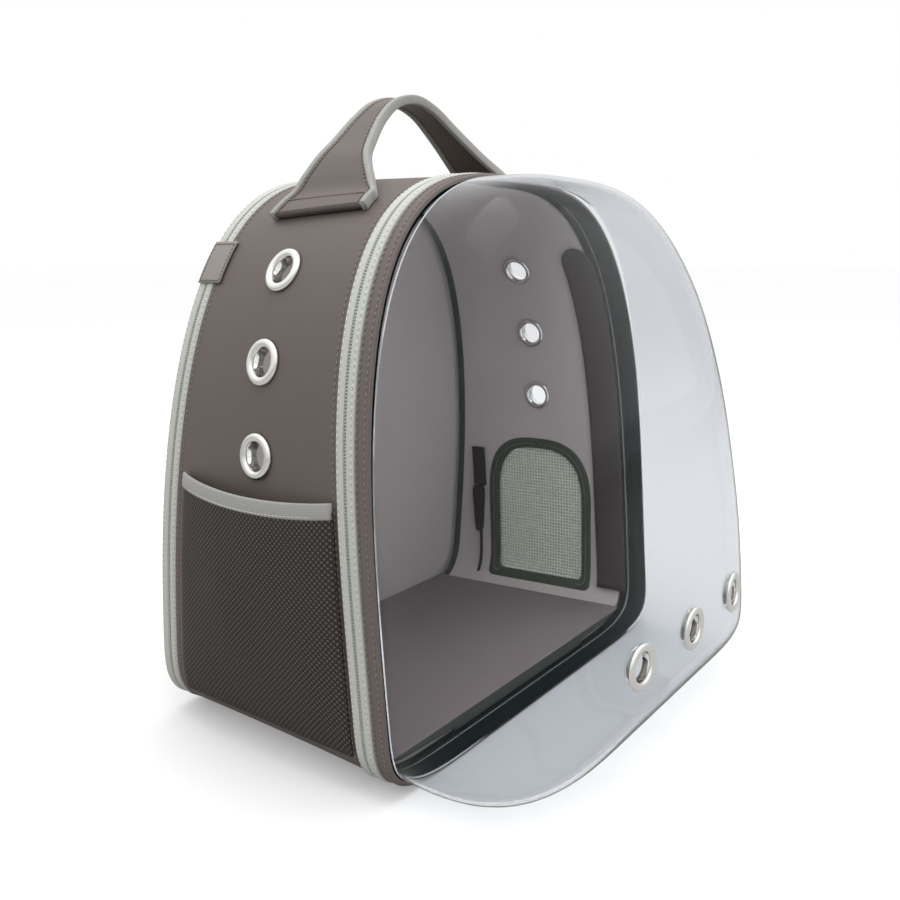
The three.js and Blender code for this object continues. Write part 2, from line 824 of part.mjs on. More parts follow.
function handleRows() {
  const feet = [0, 0.5, 1].map((share) => ({
    x: -(handleHalfSpan - handleHem * share),
    width: handleBaseWidth - handleHem * share * 0.4,
    y: handleBack,
    hug: true,
  }));
  const rise = handleStations.map((row) => ({
    x: -handleHalfSpan * row.out,
    z: footHeight + handleRise * row.up,
    width: THREE.MathUtils.lerp(handleTopWidth, handleBaseWidth, row.flare),
    y: handleBack + handleTilt * row.tilt,
    hug: false,
  }));
  const near = [...feet, ...rise];
  const far = near.slice(0, -1).reverse().map((row) => ({ ...row, x: -row.x }));
  return [...near, ...far];
}

const handlePath = handleRows();

// Four corners of the handle's section between two shares of its width
function handleSection(k, from, to, proud) {
  const row = handlePath[k];
  const y0 = row.y + row.width * (from.share - 0.5) + from.shift;
  const y1 = row.y + row.width * (to.share - 0.5) + to.shift;
  if (row.hug) {
    const low = handleSeat;
    const high = handleSeat + handleThick + proud;
    return [
      onCrown(row.x, y0, low),
      onCrown(row.x, y1, low),
      onCrown(row.x, y1, high),
      onCrown(row.x, y0, high),
    ];
  }
  const before = handlePath[k - 1];
  const after = handlePath[k + 1];
  const z0 = before.hug ? onCrown(before.x, before.y, handleSeat).z : before.z;
  const z1 = after.hug ? onCrown(after.x, after.y, handleSeat).z : after.z;
  const along = new THREE.Vector2(after.x - before.x, z1 - z0).normalize();
  const half = handleThick / 2 + proud;
  const nx = -along.y * half;
  const nz = along.x * half;
  return [
    new THREE.Vector3(row.x - nx, y0, row.z - nz),
    new THREE.Vector3(row.x - nx, y1, row.z - nz),
    new THREE.Vector3(row.x + nx, y1, row.z + nz),
    new THREE.Vector3(row.x + nx, y0, row.z + nz),
  ];
}

function handleBar(from, to, proud) {
  return loft(handlePath.map((row, k) => handleSection(k, from, to, proud)), false);
}

const edgeIn = handleEdge + handleSeam;
addPiece(
  "handle_strap",
  handleBar({ share: 0, shift: edgeIn }, { share: 1, shift: -edgeIn }, 0),
  "leather",
);
addPiece(
  "handle_binding_fore",
  handleBar({ share: 0, shift: 0 }, { share: 0, shift: handleEdge }, handleEdgeProud),
  "binding",
);
addPiece(
  "handle_binding_rear",
  handleBar({ share: 1, shift: -handleEdge }, { share: 1, shift: 0 }, handleEdgeProud),
  "binding",
);

// Shoulder straps: a padded length with a webbing tail, both sewn to the back panel
function strapCentre(row) {
  const z = THREE.MathUtils.lerp(backHeight - strapDrop, strapBottom, row.drop);
  const seat = panelFace(strapSpread, z) + seam + strapThick / 2;
  return new THREE.Vector2(seat + strapBow * row.bow, z);
}

function bandLoft(path, x, width, thick) {
  return loft(path.map((p, k) => {
    const before = path[Math.max(k - 1, 0)];
    const after = path[Math.min(k + 1, path.length - 1)];
    const along = after.clone().sub(before).normalize();
    const ny = (-along.y * thick) / 2;
    const nz = (along.x * thick) / 2;
    const half = width / 2;
    const soft = Math.min(thick / 3, half / 3);
    return [
      new THREE.Vector3(x - half + soft, p.x - ny, p.y - nz),
      new THREE.Vector3(x + half - soft, p.x - ny, p.y - nz),
      new THREE.Vector3(x + half, p.x, p.y),
      new THREE.Vector3(x + half - soft, p.x + ny, p.y + nz),
      new THREE.Vector3(x - half + soft, p.x + ny, p.y + nz),
      new THREE.Vector3(x - half, p.x, p.y),
    ];
  }), false);
}

const strapPath = strapStations.map(strapCentre);
const strapEnd = strapPath[strapPath.length - 1];
const webStart = new THREE.Vector2(strapEnd.x, strapEnd.y - seam - webThick / 4);
const webStitch = webBottom + webWidth * 0.6;
const webLift = patchGap + webThick / 2;
const webTop = new THREE.Vector2(panelFace(strapSpread, webStitch) + webLift, webStitch);
const webFoot = new THREE.Vector2(panelFace(strapSpread, webBottom) + webLift, webBottom);
const webPath = [webStart, webStart.clone().lerp(webTop, 0.5), webTop, webFoot];
for (const side of [-1, 1]) {
  const label = sideNames[side];
  const strap = bandLoft(strapPath, side * strapSpread, strapWidth, strapThick);
  addPiece(`shoulder_strap_${label}`, strap, "leather");
  const web = bandLoft(webPath, side * strapSpread, webWidth, webThick);
  addPiece(`strap_webbing_${label}`, web, "webbing");
}

// The frame's origin is the middle of the bag's box seen from above, on the floor
const box = new THREE.Box3().setFromObject(bag);
const assembly = new THREE.Group();
bag.position.set(-(box.min.x + box.max.x) / 2, -(box.min.y + box.max.y) / 2, -box.min.z);
assembly.add(bag);
assembly.updateMatrixWorld(true);

export default assembly;
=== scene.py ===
"""Bubble pet carrier backpack: the looks of every piece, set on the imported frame.

X runs across the bag, -Y is the clear front, +Y is the wearer's side and Z is up. The form's
own sizes are in millimetres; every finished mesh is in metres in the frame's place.
"""
import logging
import math
from collections.abc import Callable, Sequence
from dataclasses import dataclass, field
from enum import Enum

import bmesh
import bpy
from mathutils import Euler, Matrix, Vector


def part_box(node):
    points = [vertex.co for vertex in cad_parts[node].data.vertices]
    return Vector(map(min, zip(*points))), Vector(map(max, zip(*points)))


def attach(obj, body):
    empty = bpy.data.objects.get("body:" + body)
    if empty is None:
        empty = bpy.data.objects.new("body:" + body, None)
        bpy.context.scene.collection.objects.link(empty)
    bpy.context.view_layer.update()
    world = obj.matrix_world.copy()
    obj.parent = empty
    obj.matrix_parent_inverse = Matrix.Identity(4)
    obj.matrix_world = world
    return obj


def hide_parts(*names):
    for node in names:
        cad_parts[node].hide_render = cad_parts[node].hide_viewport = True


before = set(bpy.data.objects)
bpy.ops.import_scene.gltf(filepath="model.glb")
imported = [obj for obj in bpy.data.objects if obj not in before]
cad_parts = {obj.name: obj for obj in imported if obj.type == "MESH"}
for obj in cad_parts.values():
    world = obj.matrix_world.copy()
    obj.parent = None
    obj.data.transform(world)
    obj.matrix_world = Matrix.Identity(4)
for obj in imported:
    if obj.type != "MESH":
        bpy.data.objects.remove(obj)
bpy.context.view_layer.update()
MM = 0.001
BODY = "root"
# Length round the gusset in millimetres, for UVs at real scale
GIRTH = 1250.0
# How far a stitch line's middle lies over its cloth, in millimetres
THREAD_LIFT = 0.1
LOG = logging.getLogger("carrier")

Place = Callable[[float, float], Vector]
Path = Callable[[float], Vector]


class End(Enum):
    """The two zipped ends of the bag."""

    FRONT = "front"
    BACK = "back"


class Side(Enum):
    """The two side walls, by the sign of X."""

    LEFT = -1
    RIGHT = 1


@dataclass(frozen=True)
class Outline:
    """Closed outline of one end of the bag, in millimetres."""

    half_width: float
    height: float
    belly: float
    sole_half: float
    crown_x: float
    crown_z: float
    sole_x: float
    sole_z: float
    sole_steps: int = 24
    corner_steps: int = 96
    crown_steps: int = 240

    @staticmethod
    def quarter(half: float, rise: float, power_x: float, power_z: float) -> list[Vector]:
        """Samples a quarter of a superellipse finely.

        Args:
            half: Reach across.
            rise: Reach upwards.
            power_x: Fullness across.
            power_z: Fullness upwards.

        Returns:
            Points from the widest place to the top.
        """
        fine = 720
        points = []
        for i in range(fine + 1):
            angle = i / fine * math.pi / 2
            across = half * max(math.cos(angle), 0.0) ** (2 / power_x)
            points.append(Vector((across, rise * math.sin(angle) ** (2 / power_z))))
        return points

    @staticmethod
    def spaced(points: Sequence[Vector], count: int) -> list[Vector]:
        """Spaces points evenly along a polyline.

        Args:
            points: The polyline.
            count: Number of equal steps.

        Returns:
            count + 1 points.
        """
        lengths = [0.0]
        for before, after in zip(points, points[1:]):
            lengths.append(lengths[-1] + (after - before).length)
        result = []
        k = 0
        for i in range(count + 1):
            goal = lengths[-1] * i / count
            while k < len(points) - 2 and lengths[k + 1] < goal:
                k += 1
            share = (goal - lengths[k]) / (lengths[k + 1] - lengths[k])
            result.append(points[k].lerp(points[k + 1], share))
        return result

    def points(self) -> list[Vector]:
        """Lists the outline's points (x, z) from the middle of the sole round to it again.

        Returns:
            The points, without the first one again at the end.
        """
        low = self.quarter(self.half_width - self.sole_half, self.belly, self.sole_x, self.sole_z)
        corner = [Vector((self.sole_half + p.x, self.belly - p.y)) for p in reversed(low)]
        high = self.quarter(self.half_width, self.height - self.belly, self.crown_x, self.crown_z)
        crown = [Vector((p.x, self.belly + p.y)) for p in high]
        sole = [Vector((self.sole_half * i / self.sole_steps, 0.0)) for i in range(self.sole_steps)]
        right = sole + self.spaced(corner, self.corner_steps)[:-1] + self.spaced(crown, self.crown_steps)
        left = [Vector((-p.x, p.y)) for p in reversed(right[1:-1])]
        return right + left


@dataclass
class BagForm:
    """The bag's main surface: a gusset between a front and a back outline."""

    depth: float = 180.0
    front_lean: float = 18.0
    back_lean: float = 40.0
    wall: float = 4.0
    front: Outline = Outline(171, 378, 61, 85, 3.0, 3.3, 3.6, 5.2)
    back: Outline = Outline(162.5, 381, 76, 85, 3.14, 2.32, 3.4, 4.4)
    shift_x: float = 0.0
    shift_y: float = 0.0
    front_points: list[Vector] = field(default_factory=list)
    back_points: list[Vector] = field(default_factory=list)

    def __post_init__(self) -> None:
        """Works out both outlines and the form's place in the frame."""
        self.front_points = self.front.points()
        self.back_points = self.back.points()
        low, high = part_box("back_zip_tape_rear")
        self.shift_x = (low[0] + high[0]) / 2 / MM
        self.shift_y = high[1] / MM - self.back_plane(0.0)

    def front_plane(self, z: float) -> float:
        """Depth of the front zip's plane at a height."""
        return self.front_lean * (z / self.front.height - 0.5)

    def back_plane(self, z: float) -> float:
        """Depth of the back plane at a height."""
        return self.depth - self.back_lean * (z / self.back.height - 0.5)

    def ends(self, u: float) -> tuple[Vector, Vector]:
        """Finds the matching points of both ends.

        Args:
            u: Share of the way round, from the middle of the sole.

        Returns:
            The front point and the back point.
        """
        count = len(self.front_points)
        place = (u % 1.0) * count
        i = int(place) % count
        j = (i + 1) % count
        share = place - int(place)
        f = self.front_points[i].lerp(self.front_points[j], share)
        b = self.back_points[i].lerp(self.back_points[j], share)
        return Vector((f.x, self.front_plane(f.y), f.y)), Vector((b.x, self.back_plane(b.y), b.y))

    def raw(self, end: End, behind: float, u: float) -> Vector:
        """Point of the gusset at a distance behind its front plane or its back plane.

        Args:
            end: The plane that the distance is measured from.
            behind: Distance behind that plane.
            u: Share of the way round.

        Returns:
            The point.
        """
        front, back = self.ends(u)
        length = back.y - front.y
        if end is End.FRONT:
            point = front.lerp(back, max(behind / length, 0.0))
            point.y += min(behind, 0.0)
        else:
            point = front.lerp(back, min(1 + behind / length, 1.0))
            point.y += max(behind, 0.0)
        return point

    def station(self, end: End, behind: float, lift: float, u: float) -> Vector:
        """Point of the gusset lifted outwards in the plane of its outline.

        Args:
            end: The plane that the distance is measured from.
            behind: Distance behind that plane.
            lift: Distance outwards.
            u: Share of the way round.

        Returns:
            The point, never below the floor.
        """
        step = 0.5 / len(self.front_points)
        before = self.raw(end, behind, u - step)
        after = self.raw(end, behind, u + step)
        normal = Vector((after.z - before.z, 0.0, before.x - after.x)).normalized()
        point = self.raw(end, behind, u) + normal * lift
        point.z = max(point.z, 0.0)
        return point

    def skin(self, u: float, share: float, lift: float) -> Vector:
        """Point of the gusset at a share of its depth, lifted along its true normal.

        Args:
            u: Share of the way round.
            share: Share of the way from front to back.
            lift: Distance outwards.

        Returns:
            The lifted point.
        """
        step = 1.0 / len(self.front_points)
        front, back = self.ends(u)
        before = self.ends(u - step)
        after = self.ends(u + step)
        round_way = after[0].lerp(after[1], share) - before[0].lerp(before[1], share)
        normal = round_way.cross(back - front).normalized()
        point = front.lerp(back, share)
        if normal.dot(Vector((point.x, 0, point.z - self.front.height * 0.4))) < 0:
            normal.negate()
        return point + normal * lift

    def locate(self, low: float, high: float, y: float, axis: int, goal: float) -> tuple[float, float]:
        """Finds where the gusset passes a depth and a place along X or Z.

        Args:
            low: Share of the way round where the search starts.
            high: Share where it ends.
            y: Wanted depth.
            axis: 0 for a wanted X, 2 for a wanted Z.
            goal: The wanted value.

        Returns:
            Share of the way round and share of the depth.
        """
        def measure(u: float) -> tuple[float, float]:
            """Gets the axis value and the depth share at u.

            Args:
                u: Share of the way round.

            Returns:
                The value along the axis and the depth share.
            """
            front, back = self.ends(u)
            share = (y - front.y) / (back.y - front.y)
            return front.lerp(back, share)[axis], share

        rising = measure(high)[0] > measure(low)[0]
        for _ in range(34):
            middle = (low + high) / 2
            if (measure(middle)[0] < goal) == rising:
                low = middle
            else:
                high = middle
        return low, measure(low)[1]

    def on_side(self, side: Side, y: float, z: float, lift: float) -> Vector:
        """Point on a side wall at a depth and a height, lifted off it.

        Args:
            side: Which side wall.
            y: The depth.
            z: The height.
            lift: Distance outwards.

        Returns:
            The lifted point.
        """
        u, share = self.locate(0.07, 0.49, y, 2, z)
        point = self.skin(u, share, lift)
        point.x *= side.value
        return point

    def on_crown(self, x: float, y: float, lift: float) -> Vector:
        """Point on the top of the bag over a place, lifted off it.

        Args:
            x: The place across.
            y: The depth.
            lift: Distance outwards.

        Returns:
            The lifted point.
        """
        u, share = self.locate(0.3, 0.5, y, 0, abs(x))
        point = self.skin(u, share, lift)
        point.x = math.copysign(point.x, x)
        point.y = y
        return point

    def to_frame(self, point: Vector) -> Vector:
        """Moves a point of the form into the frame, in metres."""
        return Vector((point.x + self.shift_x, point.y + self.shift_y, point.z)) * MM


def smooth_row(rows: Sequence[Sequence[float]], place: float) -> list[float]:
    """Interpolates a table's rows smoothly.

    Args:
        rows: Rows of numbers, evenly spaced from 0 to 1.
        place: Share of the way through the table.

    Returns:
        The interpolated row.
    """
    spot = min(max(place, 0.0), 1.0) * (len(rows) - 1)
    i = min(int(spot), len(rows) - 2)
    t = spot - i
    before = rows[max(i - 1, 0)]
    after = rows[min(i + 2, len(rows) - 1)]
    result = []
    for a, b, c, d in zip(before, rows[i], rows[i + 1], after):
        bend = (-a + 3 * b - 3 * c + d) * t ** 3 + (2 * a - 5 * b + 4 * c - d) * t ** 2
        result.append(b + ((c - a) * t + bend) / 2)
    return result


def linear(code: str) -> tuple[float, float, float, float]:
    """Turns an sRGB hex colour into linear values with full alpha.

    Args:
        code: The colour, as # and six hex digits.

    Returns:
        Red, green, blue and alpha.
    """
    values = [int(code[i:i + 2], 16) / 255 for i in (1, 3, 5)]
    turned = [v / 12.92 if v <= 0.04045 else ((v + 0.055) / 1.055) ** 2.4 for v in values]
    return turned[0], turned[1], turned[2], 1.0


def add(tree: bpy.types.NodeTree, kind: str, links: dict | None = None, **settings: object) -> bpy.types.Node:
    """Adds a node with its settings and links.

    Args:
        tree: The node tree.
        kind: The node's type, without its ShaderNode prefix.
        links: Input name or index to the output socket that feeds it.
        **settings: Properties, or input values under the input's name with _ for spaces.

    Returns:
        The new node.
    """
    node = tree.nodes.new(f"ShaderNode{kind}")
    for name, value in settings.items():
        socket = name.replace("_", " ")
        if socket in node.inputs:
            node.inputs[socket].default_value = value
        else:
            setattr(node, name, value)
    for name, output in (links or {}).items():
        tree.links.new(output, node.inputs[name])
    return node


def start_material(name: str) -> tuple[bpy.types.Material, bpy.types.NodeTree]:
    """Starts an empty node material.

    Args:
        name: The material's name.

    Returns:
        The material and its node tree.
    """
    material = bpy.data.materials.new(name)
    material.use_nodes = True
    material.node_tree.nodes.clear()
    return material, material.node_tree


@dataclass(frozen=True)
class CoatedLeather:
    """Coated leather cloth: embossed polyurethane film on a knit, with a low satin gloss."""

    name: str
    colour: str
    roughness: float = 0.5
    grain: float = 0.9 * MM
    relief: float = 0.00012

    def build(self) -> bpy.types.Material:
        """Builds the material: pebbled emboss, faint cloudy shade and scattered gloss.

        Returns:
            The material.
        """
        material, tree = start_material(self.name)
        at = add(tree, "TexCoord")
        pebble = add(tree, "TexVoronoi", {"Vector": at.outputs["Object"]}, Scale=1 / self.grain)
        cloud = add(tree, "TexNoise", {"Vector": at.outputs["Object"]}, Scale=14.0, Detail=4.0)
        shade = add(tree, "MapRange", {"Value": cloud.outputs["Fac"]}, To_Min=0.9, To_Max=1.08)
        tone = add(tree, "HueSaturation", {"Value": shade.outputs["Result"]})
        tone.inputs["Color"].default_value = linear(self.colour)
        gloss = add(
            tree, "MapRange", {"Value": cloud.outputs["Fac"]},
            To_Min=self.roughness - 0.05, To_Max=self.roughness + 0.06,
        )
        bump = add(tree, "Bump", {"Height": pebble.outputs["Distance"]}, Strength=0.35)
        bump.inputs["Distance"].default_value = self.relief
        surface = add(tree, "BsdfPrincipled", {
            "Base Color": tone.outputs["Color"],
            "Roughness": gloss.outputs["Result"],
            "Normal": bump.outputs["Normal"],
        }, IOR=1.5)
        add(tree, "OutputMaterial", {"Surface": surface.outputs["BSDF"]})
        return material


@dataclass(frozen=True)
class WovenCloth:
    """Woven polyester: crossed ribs of thread that soften the light."""

    name: str
    colour: str
    thread: float = 0.8 * MM
    roughness: float = 0.8
    relief: float = 0.00015
    contrast: float = 0.12
    sheen: float = 0.12
    level: float = 0.4

    def build(self) -> bpy.types.Material:
        """Builds the material: two crossed sets of ribs drawn on the piece's own UV map.

        Returns:
            The material.
        """
        material, tree = start_material(self.name)
        at = add(tree, "UVMap", uv_map="UVMap")
        warp, weft = (
            add(tree, "TexWave", {"Vector": at.outputs["UV"]}, bands_direction=way, Scale=0.5 / self.thread)
            for way in "XY"
        )
        weave = add(tree, "Math", {0: warp.outputs["Fac"], 1: weft.outputs["Fac"]}, operation="MULTIPLY")
        shade = add(
            tree, "MapRange", {"Value": weave.outputs["Value"]},
            To_Min=1 - self.contrast, To_Max=1 + self.contrast * 0.5,
        )
        tone = add(tree, "HueSaturation", {"Value": shade.outputs["Result"]})
        tone.inputs["Color"].default_value = linear(self.colour)
        bump = add(tree, "Bump", {"Height": weave.outputs["Value"]}, Strength=0.5)
        bump.inputs["Distance"].default_value = self.relief
        surface = add(tree, "BsdfPrincipled", {
            "Base Color": tone.outputs["Color"],
            "Normal": bump.outputs["Normal"],
        }, Roughness=self.roughness, IOR=1.5, Sheen_Weight=self.sheen, Specular_IOR_Level=self.level)
        add(tree, "OutputMaterial", {"Surface": surface.outputs["BSDF"]})
        return material


@dataclass(frozen=True)
class KnitNet:
    """Knitted polyester net: rounded holes between its threads, dark or half open."""

    name: str
    thread_colour: str
    hole_colour: str
    pitch: float
    hole_share: float
    cut_through: bool
    veil: float = 0.62
    relief: float = 0.0003

    def build(self) -> bpy.types.Material:
        """Builds the material: holes on an upright grid if cut through, or on a slanting one if dark.

        Returns:
            The material.
        """
        material, tree = start_material(self.name)
        at = add(tree, "UVMap", uv_map="UVMap")
        turned = add(tree, "Mapping", {"Vector": at.outputs["UV"]})
        turned.inputs["Rotation"].default_value = (0.0, 0.0, math.radians(0 if self.cut_through else 45))
        cell = add(
            tree, "TexVoronoi", {"Vector": turned.outputs["Vector"]},
            voronoi_dimensions="2D", Scale=1 / self.pitch, Randomness=0.12 if self.cut_through else 0.0,
        )
        hole = add(
            tree, "MapRange", {"Value": cell.outputs["Distance"]},
            interpolation_type="SMOOTHSTEP", From_Min=self.hole_share * 0.75, From_Max=self.hole_share,
        )
        tone = add(tree, "Mix", {"Factor": hole.outputs["Result"]}, data_type="RGBA")
        tone.inputs[6].default_value = linear(self.hole_colour)
        tone.inputs[7].default_value = linear(self.thread_colour)
        bump = add(tree, "Bump", {"Height": hole.outputs["Result"]}, Strength=0.6)
        bump.inputs["Distance"].default_value = self.relief
        links = {"Base Color": tone.outputs[2], "Normal": bump.outputs["Normal"]}
        if self.cut_through:
            veil = add(tree, "MapRange", {"Value": hole.outputs["Result"]}, To_Min=self.veil, To_Max=1.0)
            links["Alpha"] = veil.outputs["Result"]
        surface = add(tree, "BsdfPrincipled", links, Roughness=0.75, IOR=1.5)
        add(tree, "OutputMaterial", {"Surface": surface.outputs["BSDF"]})
        return material


@dataclass(frozen=True)
class Plastic:
    """Moulded plastic: fine mould texture under an even low gloss."""

    name: str
    colour: str
    roughness: float = 0.45
    relief: float = 0.00005

    def build(self) -> bpy.types.Material:
        """Builds the material with a fine spark texture.

        Returns:
            The material.
        """
        material, tree = start_material(self.name)
        at = add(tree, "TexCoord")
        spark = add(tree, "TexNoise", {"Vector": at.outputs["Object"]}, Scale=2200.0, Detail=2.0)
        bump = add(tree, "Bump", {"Height": spark.outputs["Fac"]}, Strength=0.2)
        bump.inputs["Distance"].default_value = self.relief
        surface = add(
            tree, "BsdfPrincipled", {"Normal": bump.outputs["Normal"]},
            Base_Color=linear(self.colour), Roughness=self.roughness, IOR=1.5,
        )
        add(tree, "OutputMaterial", {"Surface": surface.outputs["BSDF"]})
        return material


@dataclass(frozen=True)
class PlatedBrass:
    """Nickel plated brass: stamped and barrel polished, with faint handling marks."""

    name: str
    colour: str

    def build(self) -> bpy.types.Material:
        """Builds the metal with roughness broken up by fine wear.

        Returns:
            The material.
        """
        material, tree = start_material(self.name)
        at = add(tree, "TexCoord")
        wear = add(tree, "TexNoise", {"Vector": at.outputs["Object"]}, Scale=260.0, Detail=5.0)
        gloss = add(tree, "MapRange", {"Value": wear.outputs["Fac"]}, To_Min=0.08, To_Max=0.24)
        surface = add(
            tree, "BsdfPrincipled", {"Roughness": gloss.outputs["Result"]},
            Base_Color=linear(self.colour), Metallic=1.0,
        )
        add(tree, "OutputMaterial", {"Surface": surface.outputs["BSDF"]})
        return material


@dataclass(frozen=True)
class ClearSheet:
    """Clear PET sheet, thermoformed: glossy, with light let through its shadows."""

    name: str
    colour: str
    roughness: float = 0.03
    index: float = 1.18
    shadow: str = "#fbfcfc"

    def build(self) -> bpy.types.Material:
        """Builds smooth plastic glass that shadow rays pass.

        Returns:
            The material.
        """
        material, tree = start_material(self.name)
        glass = add(
            tree, "BsdfPrincipled",
            Base_Color=linear(self.colour), Roughness=self.roughness, IOR=self.index, Transmission_Weight=1.0,
        )
        open_way = add(tree, "BsdfTransparent", Color=linear(self.shadow))
        path = add(tree, "LightPath")
        mix = add(tree, "MixShader", {
            "Fac": path.outputs["Is Shadow Ray"], 1: glass.outputs["BSDF"], 2: open_way.outputs["BSDF"],
        })
        add(tree, "OutputMaterial", {"Surface": mix.outputs["Shader"]})
        return material


# Polyurethane coated cloth in taupe, embossed with a fine pebble
LEATHER = CoatedLeather("coated_leather_taupe", "#5d5450").build()
# The same film on the rim and hems, a little darker where it is turned
LEATHER_EDGE = CoatedLeather("coated_leather_turned_edge", "#625955", 0.55).build()
# Brushed polyester lining, a paler taupe than the film
LINING = WovenCloth("polyester_lining_grey", "#c4bcb9", 0.9 * MM, relief=0.00006, contrast=0.04).build()
FLOOR_CLOTH = WovenCloth("polyester_floor_cloth", "#766d6c", 1.1 * MM, relief=0.00008, contrast=0.05).build()
# Polyester zip tape: pale grey, with a dark coated back
TAPE = WovenCloth("polyester_zip_tape", "#bdbfb9", 1.2 * MM, contrast=0.1).build()
TAPE_BACK = WovenCloth(
    "coated_tape_back_dark", "#071416", 1.2 * MM, 0.7, relief=0.0, contrast=0.05, sheen=0.0, level=0.0,
).build()
# Grey cloth colour that paints shade, on the inner faces of the back zip tapes and on the sides of the floor
# pad
PAINTED_SHADE_GREY = WovenCloth(
    "painted_shade_grey_cloth", "#474d49", 1.2 * MM, contrast=0.05, sheen=0.0, level=0.2,
).build()
BINDING = WovenCloth("grosgrain_binding_grey", "#9e9e9a", 1.0 * MM, contrast=0.14).build()
WINDOW_TRIM = WovenCloth("woven_window_binding", "#424a40", 1.0 * MM, contrast=0.1).build()
FLAP_CLOTH = WovenCloth(
    "woven_flap_brown", "#453d3e", 1.0 * MM, 0.8, relief=0.0, contrast=0.05, sheen=0.0, level=0.2,
).build()
TAG_CLOTH = WovenCloth("damask_tag_bare", "#8c8783", 0.7 * MM, contrast=0.12).build()
WEBBING = WovenCloth("polyester_webbing_black", "#232122", 1.6 * MM, contrast=0.25).build()
# Nylon coil, pale grey
COIL = Plastic("nylon_zip_coil", "#a4ada6", 0.5).build()
HOOK = Plastic("acetal_black", "#1b1b1c").build()
THREAD = Plastic("polyester_thread_taupe", "#7d736f", 0.7).build()
THREAD_PALE = Plastic("polyester_thread_grey", "#c6c7c2", 0.7).build()
# Spacer net: a lighter ground between dark threads, which shows as rows of pale dots
POCKET_NET = KnitNet("spacer_net_dark", "#1f1c1d", "#574d4a", 2.6 * MM, 0.34, False).build()
# Window net is drawn at a 3 mm pitch, coarser than the real knit, so that it shows
WINDOW_NET = KnitNet("knit_net_pale", "#e4ecd9", "#586054", 3.0 * MM, 0.42, True).build()
NICKEL = PlatedBrass("nickel_plated_brass", "#f0f0ec").build()
# Its index is matched to the faint gloss of a sheet this thin
CLEAR = ClearSheet("clear_pet_sheet", "#e2e4e7").build()


def finish_piece(
    name: str, bm: bmesh.types.BMesh, finishes: Sequence[bpy.types.Material],
    stands_for: Sequence[str] = (),
) -> bpy.types.Object:
    """Makes a piece of a finished bmesh, names its UV map and lets it ride on the body.

    Args:
        name: The piece's name.
        bm: The mesh, in the frame and in metres; it is freed.
        finishes: Materials by face material index.
        stands_for: CAD nodes that the piece replaces.

    Returns:
        The new object.
    """
    bmesh.ops.recalc_face_normals(bm, faces=bm.faces)
    for face in bm.faces:
        face.smooth = True
    mesh = bpy.data.meshes.new(name)
    bm.to_mesh(mesh)
    bm.free()
    if mesh.uv_layers:
        mesh.uv_layers[0].name = "UVMap"
    piece = bpy.data.objects.new(name, mesh)
    bpy.context.scene.collection.objects.link(piece)
    for finish in finishes:
        mesh.materials.append(finish)
    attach(piece, BODY)
    if stands_for:
        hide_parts(*stands_for)
    LOG.info("%s: %d faces", name, len(mesh.polygons))
    return piece


def bent_grid(
    form: BagForm, columns: int, rows: int, place: Place, span: tuple[float, float],
) -> bmesh.types.BMesh:
    """Bends a flat grid into a surface, with UVs in metres.

    Args:
        form: The bag's form, for its place in the frame.
        columns: Cells along u.
        rows: Cells along v.
        place: Gives the form's point at (u, v), each from 0 to 1.
        span: Real length along u and along v, in millimetres.

    Returns:
        The surface, with touching edges merged.
    """
    bm = bmesh.new()
    bmesh.ops.create_grid(bm, x_segments=columns, y_segments=rows, size=0.5, calc_uvs=True)
    layer = bm.loops.layers.uv.verify()
    for face in bm.faces:
        for loop in face.loops:
            u, v = loop.vert.co.x + 0.5, loop.vert.co.y + 0.5
            loop[layer].uv = (u * span[0] * MM, v * span[1] * MM)
    for vert in bm.verts:
        vert.co = form.to_frame(place(vert.co.x + 0.5, vert.co.y + 0.5))
    bmesh.ops.remove_doubles(bm, verts=bm.verts, dist=2e-6)
    return bm


def from_cad(node: str, flatness: float) -> bmesh.types.BMesh:
    """Copies a CAD node's mesh, with faces that lie within an angle merged.

    Args:
        node: The CAD node.
        flatness: The angle in degrees.

    Returns:
        The copy.
    """
    bm = bmesh.new()
    bm.from_mesh(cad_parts[node].data)
    bmesh.ops.remove_doubles(bm, verts=bm.verts, dist=1e-6)
    bmesh.ops.dissolve_limit(bm, angle_limit=math.radians(flatness), verts=bm.verts[:], edges=bm.edges[:])
    return bm


def flat_uvs(bm: bmesh.types.BMesh, across: int, up: int) -> None:
    """Lays UVs flat in metres along two axes, given as 0, 1 or 2.

    Args:
        bm: The mesh.
        across: The axis that gives the first value.
        up: The axis that gives the second.
    """
    layer = bm.loops.layers.uv.verify()
    for face in bm.faces:
        for loop in face.loops:
            loop[layer].uv = (loop.vert.co[across], loop.vert.co[up])


def line_inside(bm: bmesh.types.BMesh, run: float, first: float = 0.5, last: float = 1.0) -> None:
    """Gives the second finish to the faces between two shares of a section's run.

    Args:
        bm: A bent grid.
        run: Its real length along v, in millimetres.
        first: Share where the second finish starts.
        last: Share where it ends.
    """
    layer = bm.loops.layers.uv.active
    for face in bm.faces:
        middle = sum(loop[layer].uv.y for loop in face.loops) / len(face.loops)
        face.material_index = 1 if first < middle / (run * MM) < last else 0


def cap_ends(bm: bmesh.types.BMesh) -> None:
    """Closes every open edge loop with a face."""
    bmesh.ops.holes_fill(bm, edges=[edge for edge in bm.edges if edge.is_boundary])


def inside(share: float, margin: float) -> float:
    """Draws a share from 0 to 1 in by a margin at both ends."""
    return margin + (1 - 2 * margin) * share


def squared(turn: float, across: float, up: float) -> tuple[float, float]:
    """Gives a point of a rounded box section.

    Args:
        turn: Share of the way round.
        across: Power for the first value; the smaller it is, the squarer the section.
        up: Power for the second value.

    Returns:
        Two values from -1 to 1.
    """
    x, y = math.cos(math.tau * turn), math.sin(math.tau * turn)
    return math.copysign(abs(x) ** across, x), math.copysign(abs(y) ** up, y)


